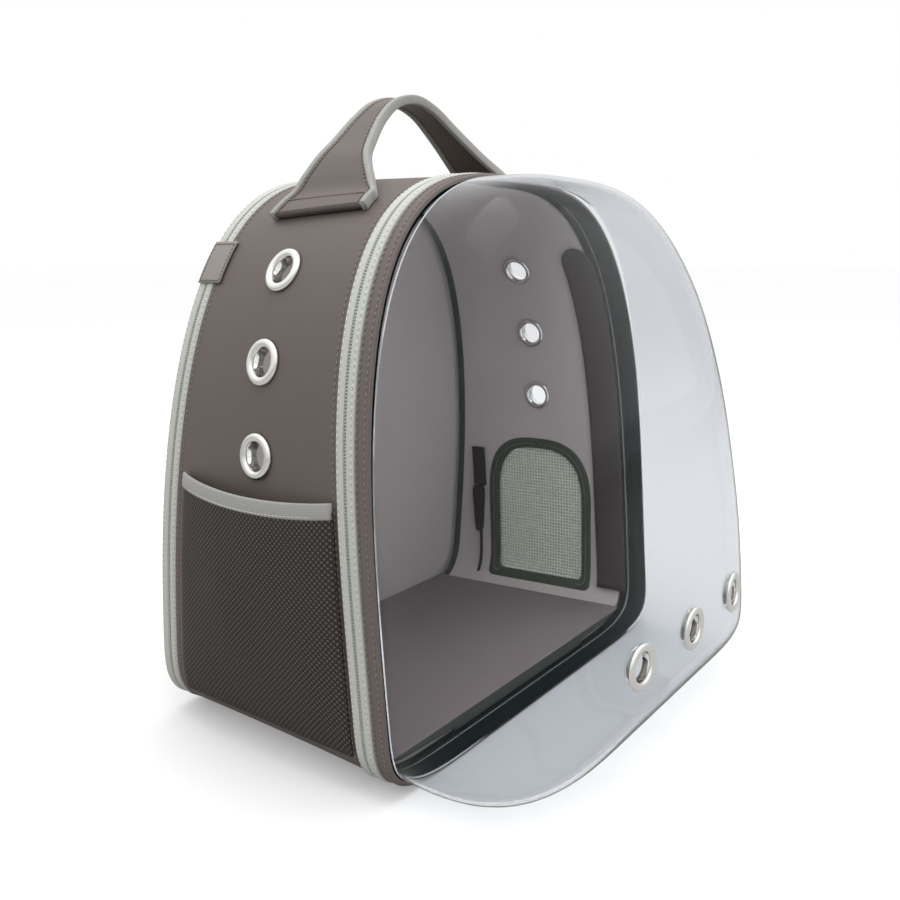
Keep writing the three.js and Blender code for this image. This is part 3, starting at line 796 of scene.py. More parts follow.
def cut(piece: bpy.types.Object, cutters: Sequence[bpy.types.Object]) -> None:
    """Cuts closed cutters out of a piece and throws the cutters away.

    The edges of the cuts are marked sharp, so the faces beside a bore stay evenly shaded.

    Args:
        piece: The piece to cut.
        cutters: Closed meshes.
    """
    for cutter in cutters:
        bore = piece.modifiers.new("bore", "BOOLEAN")
        bore.operation = "DIFFERENCE"
        bore.object = cutter
        bore.solver = "EXACT"
    graph = bpy.context.evaluated_depsgraph_get()
    mesh = bpy.data.meshes.new_from_object(piece.evaluated_get(graph))
    piece.modifiers.clear()
    old = piece.data
    piece.data = mesh
    mesh.name = old.name
    bpy.data.meshes.remove(old)
    mesh.set_sharp_from_angle(angle=math.radians(35))
    for cutter in cutters:
        bpy.data.objects.remove(cutter)


def cutter_from(bm: bmesh.types.BMesh) -> bpy.types.Object:
    """Makes a loose cutting object of a bmesh in the frame.

    Args:
        bm: A closed mesh; it is freed.

    Returns:
        The cutter.
    """
    bmesh.ops.recalc_face_normals(bm, faces=bm.faces)
    mesh = bpy.data.meshes.new("cutter")
    bm.to_mesh(mesh)
    bm.free()
    cutter = bpy.data.objects.new("cutter", mesh)
    bpy.context.scene.collection.objects.link(cutter)
    return cutter


def stitch_row(
    bm: bmesh.types.BMesh, form: BagForm, path: Path, count: int, length: float = 2.6, width: float = 0.55,
) -> None:
    """Adds a row of stitches along a path.

    Args:
        bm: The mesh that takes the stitches.
        form: The bag's form.
        path: Gives the form's point at a share of the way along.
        count: Number of stitches.
        length: Length of one stitch, in millimetres.
        width: Thickness of the thread, in millimetres.
    """
    size = Matrix.Diagonal((length * MM, width * MM, width * MM, 1.0))
    for i in range(count):
        middle = path((i + 0.5) / count)
        along = (path((i + 0.7) / count) - middle).normalized()
        turn = along.to_track_quat("X", "Z").to_matrix().to_4x4()
        place = form.to_frame(middle)
        place.z = max(place.z, width * MM)
        bmesh.ops.create_cube(bm, size=1.0, matrix=Matrix.Translation(place) @ turn @ size)


def sew(
    name: str, form: BagForm, rows: Sequence[tuple[Path, int]], thread: bpy.types.Material, slot: str,
    length: float = 2.6, width: float = 0.55, lowest: float | None = None,
) -> None:
    """Sews rows of stitches as one piece.

    Args:
        name: The piece's name.
        form: The bag's form.
        rows: Path and number of stitches of each row.
        thread: The thread's material.
        slot: Name of a material slot; not used.
        length: Length of one stitch, in millimetres.
        width: Thickness of the thread, in millimetres.
        lowest: Height that no stitch goes under, in millimetres, if there is one.
    """
    bm = bmesh.new()
    for path, count in rows:
        stitch_row(bm, form, path, count, length, width)
    if lowest is not None:
        for vert in bm.verts:
            vert.co.z = max(vert.co.z, lowest * MM)
    finish_piece(name, bm, [thread])


def declare_sheet(
    form: BagForm, place: Place,
) -> None:
    """Works out points along a sewn sheet's two middle lines, and keeps nothing.

    Args:
        form: The bag's form.
        place: Gives the sheet's point at (u, v).
    """
    steps = 40
    for line in (lambda t: place(t, 0.5), lambda t: place(0.5, t)):
        points = [form.to_frame(line(i / steps)) for i in range(steps + 1)]


@dataclass(frozen=True)
class Eyelet:
    """One vent eyelet: its place, its outward axis and the wall that it goes through."""

    point: Vector
    axis: Vector
    wall: float


@dataclass
class VentEyelets:
    """Plated vent eyelets in the side walls and in the clear shell."""

    form: BagForm
    hole: float = 18.4
    flange: float = 30.0
    dome: float = 2.6
    seat: float = 0.35
    slack: float = 1.9
    tube: float = 1.1
    play: float = 0.3
    heights: tuple[float, ...] = (316.0, 260.0, 202.0)
    back: float = 82.0
    roll_steps: int = 14
    turn_steps: int = 48
    bore_sides: int = 40

    def profile(self, wall: float) -> list[tuple[float, float]]:
        """Lists radius and height along the eyelet's closed section.

        Args:
            wall: Thickness of the wall that the eyelet clasps.

        Returns:
            The section's corners in order.
        """
        bore = self.hole / 2
        rim = self.flange / 2
        inside = -(wall + self.slack)
        foot = inside - self.tube * 0.6
        middle, half = (bore + rim) / 2, (rim - bore) / 2
        rolled = []
        for i in range(self.roll_steps + 1):
            angle = math.pi * i / self.roll_steps
            rolled.append((middle - half * math.cos(angle), self.seat + self.dome * math.sin(angle) ** 0.8))
        return [
            (bore, foot), *rolled, (bore + self.tube, self.seat), (bore + self.tube, inside),
            (rim - self.dome, inside), (rim - self.dome, foot),
        ]

    def placed(self, eyelet: Eyelet) -> Matrix:
        """Gives the matrix that takes an upright eyelet to its place in the frame."""
        turn = Vector((0, 0, 1)).rotation_difference(eyelet.axis).to_matrix().to_4x4()
        return Matrix.Translation(self.form.to_frame(eyelet.point)) @ turn

    def dress(self, name: str, eyelet: Eyelet) -> None:
        """Turns one eyelet round its axis.

        Args:
            name: The CAD node that the eyelet stands for.
            eyelet: Its place and axis.
        """
        bm = bmesh.new()
        corners = self.profile(eyelet.wall)
        verts = [bm.verts.new((radius * MM, 0.0, height * MM)) for radius, height in corners]
        edges = [bm.edges.new(pair) for pair in zip(verts, verts[1:] + verts[:1])]
        bmesh.ops.spin(
            bm, geom=verts + edges, cent=(0, 0, 0), axis=(0, 0, 1), dvec=(0, 0, 0),
            angle=math.tau, steps=self.turn_steps, use_merge=True, use_duplicate=False,
        )
        bmesh.ops.remove_doubles(bm, verts=bm.verts, dist=1e-6)
        bmesh.ops.transform(bm, matrix=self.placed(eyelet), verts=bm.verts)
        finish_piece(f"{name}_plated", bm, [NICKEL], [name])

    def bore(self, eyelet: Eyelet) -> bpy.types.Object:
        """Makes the cutter for an eyelet's hole, long enough to pass its wall.

        Args:
            eyelet: Its place, axis and wall.

        Returns:
            The cutter.
        """
        bm = bmesh.new()
        radius = (self.hole / 2 + self.tube + self.play) * MM
        bmesh.ops.create_cone(
            bm, cap_ends=True, segments=self.bore_sides, radius1=radius, radius2=radius,
            depth=eyelet.wall * 8 * MM,
        )
        bmesh.ops.transform(bm, matrix=self.placed(eyelet), verts=bm.verts)
        return cutter_from(bm)

    def in_sides(self) -> dict[str, Eyelet]:
        """Lists the side walls' eyelets by CAD node.

        Returns:
            The eyelets by node name.
        """
        found = {}
        for side in Side:
            for i, z in enumerate(self.heights):
                base = self.form.on_side(side, self.back, z, 0.0)
                tip = self.form.on_side(side, self.back, z, 1.0)
                name = f"side_eyelet_{side.name.lower()}_{i + 1}"
                found[name] = Eyelet(base, (tip - base).normalized(), self.form.wall)
        return found


@dataclass
class SideWall:
    """Stiffened gusset: coated cloth outside, lining inside, with vent holes and a window."""

    form: BagForm
    window: "NetWindow"
    eyelets: VentEyelets
    front_start: float = 7.8
    back_start: float = -15.7
    seam: float = 3.0
    run: float = 330.0
    columns: int = 240
    rows: int = 10
    stitches: int = 300

    def section(self, u: float, v: float) -> Vector:
        """Point of the wall's closed section: outer face, back edge, inner face, front edge.

        Args:
            u: Share of the way round the bag.
            v: Share of the way round the section.

        Returns:
            The form's point.
        """
        step = v * self.rows
        face = self.rows / 2 - 1
        if step <= face:
            share, inward = step / face, 0.0
        elif step <= face + 1:
            share, inward = 1.0, step - face
        elif step <= self.rows - 1:
            share, inward = 1 - (step - face - 1) / face, 1.0
        else:
            share, inward = 0.0, self.rows - step
        lift = -self.form.wall * inward
        front = self.form.station(End.FRONT, self.front_start, lift, u)
        back = self.form.station(End.BACK, self.back_start, lift, u)
        return front.lerp(back, share)

    def build(self) -> None:
        """Builds the wall, its holes, its eyelets and the stitch lines along both zip tapes."""
        bm = bent_grid(self.form, self.columns, self.rows, self.section, (GIRTH, self.run))
        line_inside(bm, self.run)
        wall = finish_piece("side_wall_cloth", bm, [LEATHER, LINING], ["side_wall"])
        places = self.eyelets.in_sides()
        cut(wall, [self.eyelets.bore(eyelet) for eyelet in places.values()] + [self.window.cutter()])
        for name, eyelet in places.items():
            self.eyelets.dress(name, eyelet)
        ends = (End.FRONT, self.front_start + self.seam), (End.BACK, self.back_start - self.seam)
        rows = [
            (lambda t, e=end, b=behind: self.form.station(e, b, THREAD_LIFT, t), self.stitches)
            for end, behind in ends
        ]
        sew("side_wall_stitches", self.form, rows, THREAD, "leather")


@dataclass
class EndRing:
    """A ring that follows one end of the bag: zip tape or coated rim."""

    form: BagForm
    name: str
    end: End
    first: float
    last: float
    proud: float
    thick: float
    finishes: tuple[bpy.types.Material, bpy.types.Material]
    slot: str
    crown: float = 0.3
    inner: tuple[float, float] = (0.5, 1.0)
    power: float = 0.32
    columns: int = 260
    rows: int = 20

    def section(self, u: float, v: float) -> Vector:
        """Point of the ring's rounded section, the outer face over the first half of v.

        Args:
            u: Share of the way round the bag.
            v: Share of the way round the section.

        Returns:
            The form's point.
        """
        across, up = squared(v, self.power, self.power)
        behind = (self.first + self.last) / 2 - (self.last - self.first) / 2 * across
        lift = self.proud - self.thick / 2 + self.thick / 2 * up
        lift += self.crown * (1 - across ** 2) if up > 0 else 0.0
        return self.form.station(self.end, behind, lift - self.crown, u)

    def build(self) -> None:
        """Builds the ring, with its second finish on its inner face."""
        run = 2 * (abs(self.last - self.first) + self.thick)
        bm = bent_grid(self.form, self.columns, self.rows, self.section, (GIRTH, run))
        line_inside(bm, run, *self.inner)
        finish_piece(f"{self.name}_made", bm, self.finishes, [self.name])


@dataclass
class ZipCoil:
    """Closed zip coil: small moulded turns laid side by side round the end."""

    form: BagForm
    name: str
    end: End
    middle: float
    lift: float
    width: float = 1.5
    height: float = 2.0
    turns: int = 620
    turn_size: tuple[float, float] = (1.1, 1.2)
    run: float = 6.0
    columns: int = 260
    rows: int = 8

    def build(self) -> None:
        """Builds the core band and its turns."""
        def core(u: float, v: float) -> Vector:
            """Point of the core's round section.

            Args:
                u: Share of the way round the bag.
                v: Share of the way round the section.

            Returns:
                The form's point.
            """
            angle = math.tau * v
            behind = self.middle + self.width / 2 * math.cos(angle)
            return self.form.station(self.end, behind, self.lift + self.height / 2 * (math.sin(angle) - 1), u)

        bm = bent_grid(self.form, self.columns, self.rows, core, (GIRTH, self.run))
        stitch_row(
            bm, self.form, lambda t: self.form.station(self.end, self.middle, self.lift, t), self.turns,
            *self.turn_size,
        )
        finish_piece(f"{self.name}_made", bm, [COIL], [self.name])


@dataclass
class ZipBands:
    """Both zips with their tapes, and the coated rim that holds the clear shell."""

    form: BagForm
    front_tape: float = 6.4
    back_tape: float = 6.6
    teeth: float = 1.6
    seam: float = 0.3
    rim: float = 10.2
    front_proud: float = 1.6
    back_proud: float = 0.6
    rim_proud: float = 0.8
    rim_crown: float = 0.5
    tape_thick: float = 4.2
    rim_thick: float = 5.0
    coil_lift: float = 0.2
    # The back zip's rear tape has grey painted shade between these shares of its section, and its edges stay
    # pale
    coated: tuple[float, float] = (0.56, 0.94)
    margin: float = 1.6
    rim_margins: tuple[float, float] = (2.0, 2.4)
    rim_lift: float = 0.75
    tape_lifts: tuple[float, float] = (1.5, 0.5)
    stitches: int = 300

    def build(self) -> None:
        """Builds the rings in order from the front."""
        form, thick = self.form, self.tape_thick
        start = self.teeth / 2 + self.seam
        stop = start + self.front_tape - self.seam
        rim_start = stop + self.seam
        rim_end = rim_start + self.rim
        coil = self.back_tape + self.seam
        fore = coil + self.teeth + self.seam
        last = self.back_tape * 2 + self.teeth + self.seam * 2
        # The back zip tapes' inner faces take the grey painted shade
        dark, edge, pale = (TAPE, TAPE_BACK), (LEATHER_EDGE, TAPE_BACK), (TAPE, PAINTED_SHADE_GREY)
        for word, way in (("rear", 1), ("fore", -1)):
            EndRing(
                form, f"front_zip_tape_{word}", End.FRONT, start * way, stop * way, self.front_proud, thick,
                dark, "tape",
            ).build()
        EndRing(
            form, "front_rim", End.FRONT, -rim_start, -rim_end, self.rim_proud, self.rim_thick,
            edge, "leather", self.rim_crown,
        ).build()
        ZipCoil(form, "front_zip_teeth", End.FRONT, 0.0, self.coil_lift).build()
        for word, first, final, inner in (
            ("rear", 0.0, -self.back_tape, self.coated), ("fore", -fore, -last, EndRing.inner),
        ):
            EndRing(
                form, f"back_zip_tape_{word}", End.BACK, first, final, self.back_proud, thick,
                pale, "tape", inner=inner,
            ).build()
        ZipCoil(form, "back_zip_teeth", End.BACK, -coil - self.teeth / 2, -self.coil_lift).build()
        rows = [
            (lambda t, b=behind: form.station(End.FRONT, b, self.rim_lift, t), self.stitches)
            for behind in (-rim_start - self.rim_margins[0], -rim_end + self.rim_margins[1])
        ]
        sew("front_rim_stitches", form, rows, THREAD, "leather")
        front_lift, back_lift = self.tape_lifts
        lines = (
            (End.FRONT, stop - self.margin, front_lift), (End.FRONT, -stop + self.margin, front_lift),
            (End.BACK, -self.margin, back_lift), (End.BACK, -last + self.margin, back_lift),
        )
        rows = [
            (lambda t, e=end, b=behind, up=lift: form.station(e, b, up, t), self.stitches)
            for end, behind, lift in lines
        ]
        sew("zip_tape_stitches", form, rows, THREAD_PALE, "tape")


@dataclass
class BubbleShell:
    """Clear domed front shell with three vent holes near its foot."""

    form: BagForm
    eyelets: VentEyelets
    wall: float = 2.0
    inset: float = 2.2
    centre: float = 104.0
    depth: float = 122.0
    bulge: float = 0.02
    sag: float = 1.5
    lift: float = 1.2
    start: float = 17.8
    eyelet_height: float = 80.0
    eyelet_pitch: float = 75.0
    side: tuple[float, float] = (4.1, 2.6)
    sole: tuple[float, float] = (4.7, 3.6)
    crown: tuple[float, float] = (3.7, 6.0)
    profile: tuple[tuple[float], ...] = ((0.94,), (1.0,), (0.93,), (0.81,), (0.66,))
    run: float = 500.0
    columns: int = 220
    rows: int = 81
    search: tuple[int, int] = (400, 60)
    search_from: float = 0.45
    probe: tuple[float, float] = (0.004, 0.01)

    def point(self, u: float, turn: float, inset: float, loss: float) -> Vector:
        """Point of the dome.

        Args:
            u: Share of the way round.
            turn: Share of the quarter turn from the rim to the nose.
            inset: Distance in from the front outline.
            loss: Depth lost, for the inner face.

        Returns:
            The dome's point.
        """
        form = self.form
        step = 1.0 / len(form.front_points)
        before = form.ends(u - step)[0]
        after = form.ends(u + step)[0]
        normal = Vector((after.z - before.z, 0.0, before.x - after.x)).normalized()
        base = form.ends(u)[0] - normal * inset
        z0 = max(base.z, inset)
        height = form.front.height
        low = min(max((self.centre - z0) / self.centre, 0.0), 1.0) ** 2
        high = min(max((z0 - self.centre) / (height - self.centre), 0.0), 1.0) ** 2
        plan, edge = (
            self.side[k] + (self.sole[k] - self.side[k]) * low + (self.crown[k] - self.side[k]) * high
            for k in (0, 1)
        )
        angle = turn * math.pi / 2
        reach = max(math.cos(angle), 0.0) ** (2 / plan)
        out = math.sin(angle) ** (2 / edge)
        swell = 4 * out * (1 - out)
        z = self.centre + (z0 - self.centre) * reach - self.sag * swell * low
        depth = self.depth * smooth_row(self.profile, z / height)[0] - loss
        x = base.x * reach * (1 + self.bulge * swell)
        return Vector((x, form.front_plane(z) - self.start - depth * out, z + self.lift))

    def build(self) -> None:
        """Builds the dome as one closed thin wall and cuts its holes."""
        def wall(u: float, v: float) -> Vector:
            """Point of the outer face for v up to a half, then of the inner face.

            Args:
                u: Share of the way round the bag.
                v: Share of the way from the nose to the rim and back inside.

            Returns:
                The form's point.
            """
            from_nose = min(v, 1 - v) * 2
            inner = self.wall if v > 0.5 else 0.0
            return self.point(u, (1 - from_nose ** 2) ** 2, self.inset + inner, inner)

        bm = bent_grid(self.form, self.columns, self.rows, wall, (GIRTH, self.run))
        shell = finish_piece("bubble_shell_clear", bm, [CLEAR], ["bubble_shell"])
        places = {
            f"shell_eyelet_{i + 2}": self.seat_eyelet(i * self.eyelet_pitch) for i in (-1, 0, 1)
        }
        cut(shell, [self.eyelets.bore(eyelet) for eyelet in places.values()])
        for name, eyelet in places.items():
            self.eyelets.dress(name, eyelet)

    def seat_eyelet(self, x: float) -> Eyelet:
        """Finds the place and the outward axis of an eyelet on the dome's face.

        Args:
            x: The eyelet's place across.

        Returns:
            The eyelet.
        """
        def face(u: float, turn: float) -> Vector:
            """Point of the dome's outer face."""
            return self.point(u, turn, self.inset, 0.0)

        best = None
        round_steps, turn_steps = self.search
        for i in range(round_steps):
            for k in range(turn_steps):
                u, turn = i / round_steps, self.search_from + (1 - self.search_from) * k / turn_steps
                p = face(u, turn)
                off = (p.x - x) ** 2 + (p.z - self.eyelet_height) ** 2
                if best is None or off < best[0]:
                    best = (off, u, turn, p)
        _, u, turn, p = best
        du, dt = self.probe
        across = face(u + du, turn) - face(u - du, turn)
        out = face(u, turn + dt) - face(u, turn - dt)
        axis = across.cross(out).normalized()
        if axis.y > 0:
            axis.negate()
        return Eyelet(p, axis, self.wall)


@dataclass
class BackPanel:
    """Padded back panel with a rounded edge, a lined inner face and a sewn border."""

    form: BagForm
    edge: float = -3.9
    proud: float = 3.0
    inner: float = -8.0
    round: float = 4.0
    round_share: float = 0.08
    face_share: float = 0.48
    height: float = 190.0
    border: float = 4.0
    run: float = 400.0
    columns: int = 200
    rows: int = 50
    stitches: int = 280

    def place(self, u: float, v: float) -> Vector:
        """Point of the panel: inner face, rim, then outer face.

        Args:
            u: Share of the way round the bag.
            v: Share of the way from the inner middle over the rim to the outer one.

        Returns:
            The form's point.
        """
        outer = v > 0.5
        from_middle = min((1 - v if outer else v) / self.face_share, 1.0)
        turn = min(max((1 - from_middle) / self.round_share, 0.0), 1.0)
        point = self.form.station(End.BACK, 0.0, self.edge - (self.round * turn if outer else 0.0), u)
        point = point.lerp(Vector((0.0, point.y, self.height)), 1 - from_middle)
        depth = self.proud * math.sin(turn * math.pi / 2) if outer else self.inner
        point.y = self.form.back_plane(point.z) + depth
        point.z = max(point.z, -self.edge)
        return point

    def build(self) -> None:
        """Builds the panel from its rim inwards on both faces, and sews its border."""
        bm = bent_grid(self.form, self.columns, self.rows, self.place, (GIRTH, self.run))
        line_inside(bm, self.run, 0.0, 0.5)
        panel = finish_piece("back_panel_padded", bm, [LEATHER, LINING], ["back_panel"])
        inset = self.edge - self.round - self.border
        rows = [(lambda t: self.form.station(End.BACK, self.proud + THREAD_LIFT, inset, t), self.stitches)]
        sew("back_panel_stitches", self.form, rows, THREAD, "leather", lowest=self.border * 2 - self.edge)


@dataclass
class NetWindow:
    """Arched net window in the far wall, with a bound edge."""

    form: BagForm
    back: float = 86.0
    half: float = 56.0
    top: float = 160.0
    bottom: float = 17.0
    binding: float = 10.0
    proud: float = 1.0
    spring: float = 0.55
    curve: float = 2.8
    corner: float = 6.0
    wrap: float = 3.0
    seam: float = 5.5
    fullness: float = 0.4
    net_gap: float = 0.2
    net_lift: float = 0.6
    net_thick: float = 0.8
    cutter_start: float = 60.0
    cutter_length: float = 200.0
    cutter_steps: int = 96
    binding_cells: tuple[int, int] = (140, 16)
    binding_run: tuple[float, float] = (440.0, 32.0)
    net_cells: tuple[int, int] = (24, 40)
    net_run: tuple[float, float] = (92.0, 122.0)
    stitches: int = 110

    def half_at(self, z: float, inset: float) -> float:
        """Half width of the window at a height, drawn in by an inset.

        Args:
            z: The height.
            inset: Distance in from the window's outline.

        Returns:
            The half width.
        """
        low = self.bottom + inset
        spring = self.bottom + (self.top - self.bottom) * self.spring
        half = self.half - inset
        if z < spring:
            rise = min((z - low) / self.corner, 1.0)
            return half - self.corner * (1 - math.sqrt(max(1 - (1 - rise) ** 2, 0.0)))
        share = min((z - spring) / (self.top - inset - spring), 1.0)
        return half * max(1 - share ** self.curve, 0.0) ** (1 / self.curve)

    def edge(self, t: float, inset: float) -> tuple[float, float]:
        """Gives depth and height of the window's edge, t running up the back and down the front.

        Args:
            t: Share of the way round.
            inset: Distance in from the window's outline.

        Returns:
            The depth and the height.
        """
        way = t * 2 if t <= 0.5 else (1 - t) * 2
        share = (1 - math.cos(math.pi * way)) / 2
        low = self.bottom + inset
        z = low + (self.top - inset - low) * share
        across = self.half_at(z, inset)
        return self.back + (across if t <= 0.5 else -across), z

    def cutter(self) -> bpy.types.Object:
        """Makes the cutter for the window's opening.

        Returns:
            The cutter.
        """
        bm = bmesh.new()
        verts = []
        for i in range(self.cutter_steps):
            y, z = self.edge((i + 0.5) / self.cutter_steps, self.wrap)
            verts.append(bm.verts.new(self.form.to_frame(Vector((self.cutter_start, y, z)))))
        face = bm.faces.new(verts)
        made = bmesh.ops.extrude_face_region(bm, geom=[face])
        moved = [item for item in made["geom"] if isinstance(item, bmesh.types.BMVert)]
        bmesh.ops.translate(bm, verts=moved, vec=(self.cutter_length * MM, 0.0, 0.0))
        return cutter_from(bm)

    def bound(self, u: float, v: float) -> Vector:
        """Point of the binding's rounded section.

        Args:
            u: Share of the way round the window.
            v: Share of the way round the section.

        Returns:
            The form's point.
        """
        across, up = squared(v, self.fullness, self.fullness)
        y, z = self.edge(u, self.binding * (0.5 - 0.5 * across))
        half = self.form.wall / 2 + self.proud
        return self.form.on_side(Side.RIGHT, y, z, half * up - self.form.wall / 2)

    def net(self, u: float, v: float) -> Vector:
        """Point of the net, just inside the binding.

        Args:
            u: Share of the way across.
            v: Share of the way up.

        Returns:
            The form's point.
        """
        inset = self.binding + self.net_gap
        low = self.bottom + inset
        z = low + (self.top - inset - low) * (1 - math.cos(math.pi * v)) / 2
        y = self.back + self.half_at(z, inset) * (2 * u - 1)
        return self.form.on_side(Side.RIGHT, y, z, self.net_lift - self.form.wall / 2)

    def build(self) -> None:
        """Builds the bound edge, the net and the stitches on both faces."""
        form = self.form
        bm = bent_grid(form, *self.binding_cells, self.bound, self.binding_run)
        # The two feet of the arch meet under the net along its straight bottom
        bmesh.ops.bridge_loops(bm, edges=[edge for edge in bm.edges if edge.is_boundary])
        finish_piece("window_binding_woven", bm, [WINDOW_TRIM], ["window_binding"])
        bm = bent_grid(form, *self.net_cells, self.net, self.net_run)
        flat_uvs(bm, 1, 2)
        bmesh.ops.solidify(bm, geom=bm.faces[:], thickness=self.net_thick * MM)
        piece = finish_piece("window_net_knit", bm, [WINDOW_NET], ["window_mesh"])
        declare_sheet(form, self.net)
        rows = [
            (lambda t, up=lift: form.on_side(Side.RIGHT, *self.edge(t, self.seam), up), self.stitches)
            for lift in (self.proud + THREAD_LIFT, -form.wall - self.proud - THREAD_LIFT)
        ]
        sew("window_binding_stitches", form, rows, THREAD, "window_binding")


@dataclass
class NetPocket:
    """Dark net pocket on the near wall with a pale bound top."""

    form: BagForm
    top: float = 179.0
    sag: float = 5.0
    bottom: float = 26.0
    seat: float = 0.9
    front: float = 10.0
    back: float = 27.0
    bulge: float = 11.0
    thick: float = 1.4
    net_thick: float = 0.8
    binding: float = 10.0
    binding_thick: float = 2.6
    hem: float = 0.012
    tuck: float = 0.6
    fullness: tuple[float, float] = (0.4, 0.5)
    seam_rise: float = 1.6
    seam_hem: float = 0.02
    stitches: int = 46
    stitch_size: tuple[float, float] = (2.2, 0.5)
    net_cells: tuple[int, int] = (48, 48)
    net_run: tuple[float, float] = (150.0, 150.0)
    trim_cells: tuple[int, int] = (60, 16)
    trim_run: tuple[float, float] = (160.0, 25.0)
    # Height in millimetres, turns across and up, and phase of each slack fold
    folds: tuple[tuple[float, float, float, float], ...] = ((0.7, 9.0, 3.2, 0.0), (0.5, 17.0, -8.0, 1.3))

    def lift(self, u: float, v: float) -> float:
        """How far the net stands off the wall.

        Args:
            u: Share of the way across.
            v: Share of the way up.

        Returns:
            The distance.
        """
        across = math.sin(math.pi * min(max(u, 0.0), 1.0)) ** 0.6
        along = math.sin(math.pi / 2 * min(max(v, 0.0) * 1.35, 1.0)) ** 0.8
        return self.seat + self.bulge * across * along

    def mouth(self, u: float) -> float:
        """Height of the pocket's top, which sags in the middle."""
        return self.top + self.sag * (2 * u - 1) ** 2

    def place(self, u: float, z: float, lift: float) -> Vector:
        """Point over the near wall.

        Args:
            u: Share of the way across.
            z: The height.
            lift: Distance off the wall.

        Returns:
            The form's point.
        """
        front = self.form.front_plane(z) + self.front
        back = self.form.back_plane(z) - self.back
        return self.form.on_side(Side.LEFT, front + (back - front) * u, z, lift)

    def net(self, u: float, v: float) -> Vector:
        """Point of the net's outer face, with its slack folds.

        Args:
            u: Share of the way across.
            v: Share of the way up.

        Returns:
            The form's point.
        """
        z = self.bottom + (self.mouth(u) - self.binding * self.tuck - self.bottom) * v
        slack = sum(high * math.sin(across * u + up * v + phase) for high, across, up, phase in self.folds)
        slack *= math.sin(math.pi * u) * math.sin(math.pi * v)
        return self.place(u, z, self.lift(u, v) + self.thick * 0.6 + slack)

    def trim(self, u: float, v: float) -> Vector:
        """Point of the binding's closed rounded section.

        Args:
            u: Share of the way across.
            v: Share of the way round the section.

        Returns:
            The form's point.
        """
        across, up = squared(v, *self.fullness)
        w = inside(u, self.hem)
        z = self.mouth(w) - self.binding * (0.5 - 0.5 * across)
        middle = max(self.lift(w, 1.0) + self.thick / 2, self.seat + self.binding_thick / 2)
        return self.place(u, z, middle + self.binding_thick / 2 * up)

    def seam(self, t: float) -> Vector:
        """Point of the binding's stitch line.

        Args:
            t: Share of the way across.

        Returns:
            The form's point.
        """
        w = inside(t, self.seam_hem)
        lift = self.lift(w, 1.0) + self.thick / 2 + self.binding_thick / 2
        return self.place(w, self.mouth(w) - self.binding + self.seam_rise, lift)

    def build(self) -> None:
        """Builds the net, its bound top and the stitches."""
        bm = bent_grid(self.form, *self.net_cells, self.net, self.net_run)
        bmesh.ops.solidify(bm, geom=bm.faces[:], thickness=self.net_thick * MM)
        piece = finish_piece("pocket_net_knit", bm, [POCKET_NET], ["pocket_mesh"])
        declare_sheet(self.form, self.net)
        bm = bent_grid(self.form, *self.trim_cells, self.trim, self.trim_run)
        cap_ends(bm)
        finish_piece("pocket_binding_woven", bm, [BINDING], ["pocket_binding"])
        rows = [(self.seam, self.stitches)]
        sew("pocket_stitches", self.form, rows, THREAD_PALE, "binding", *self.stitch_size)


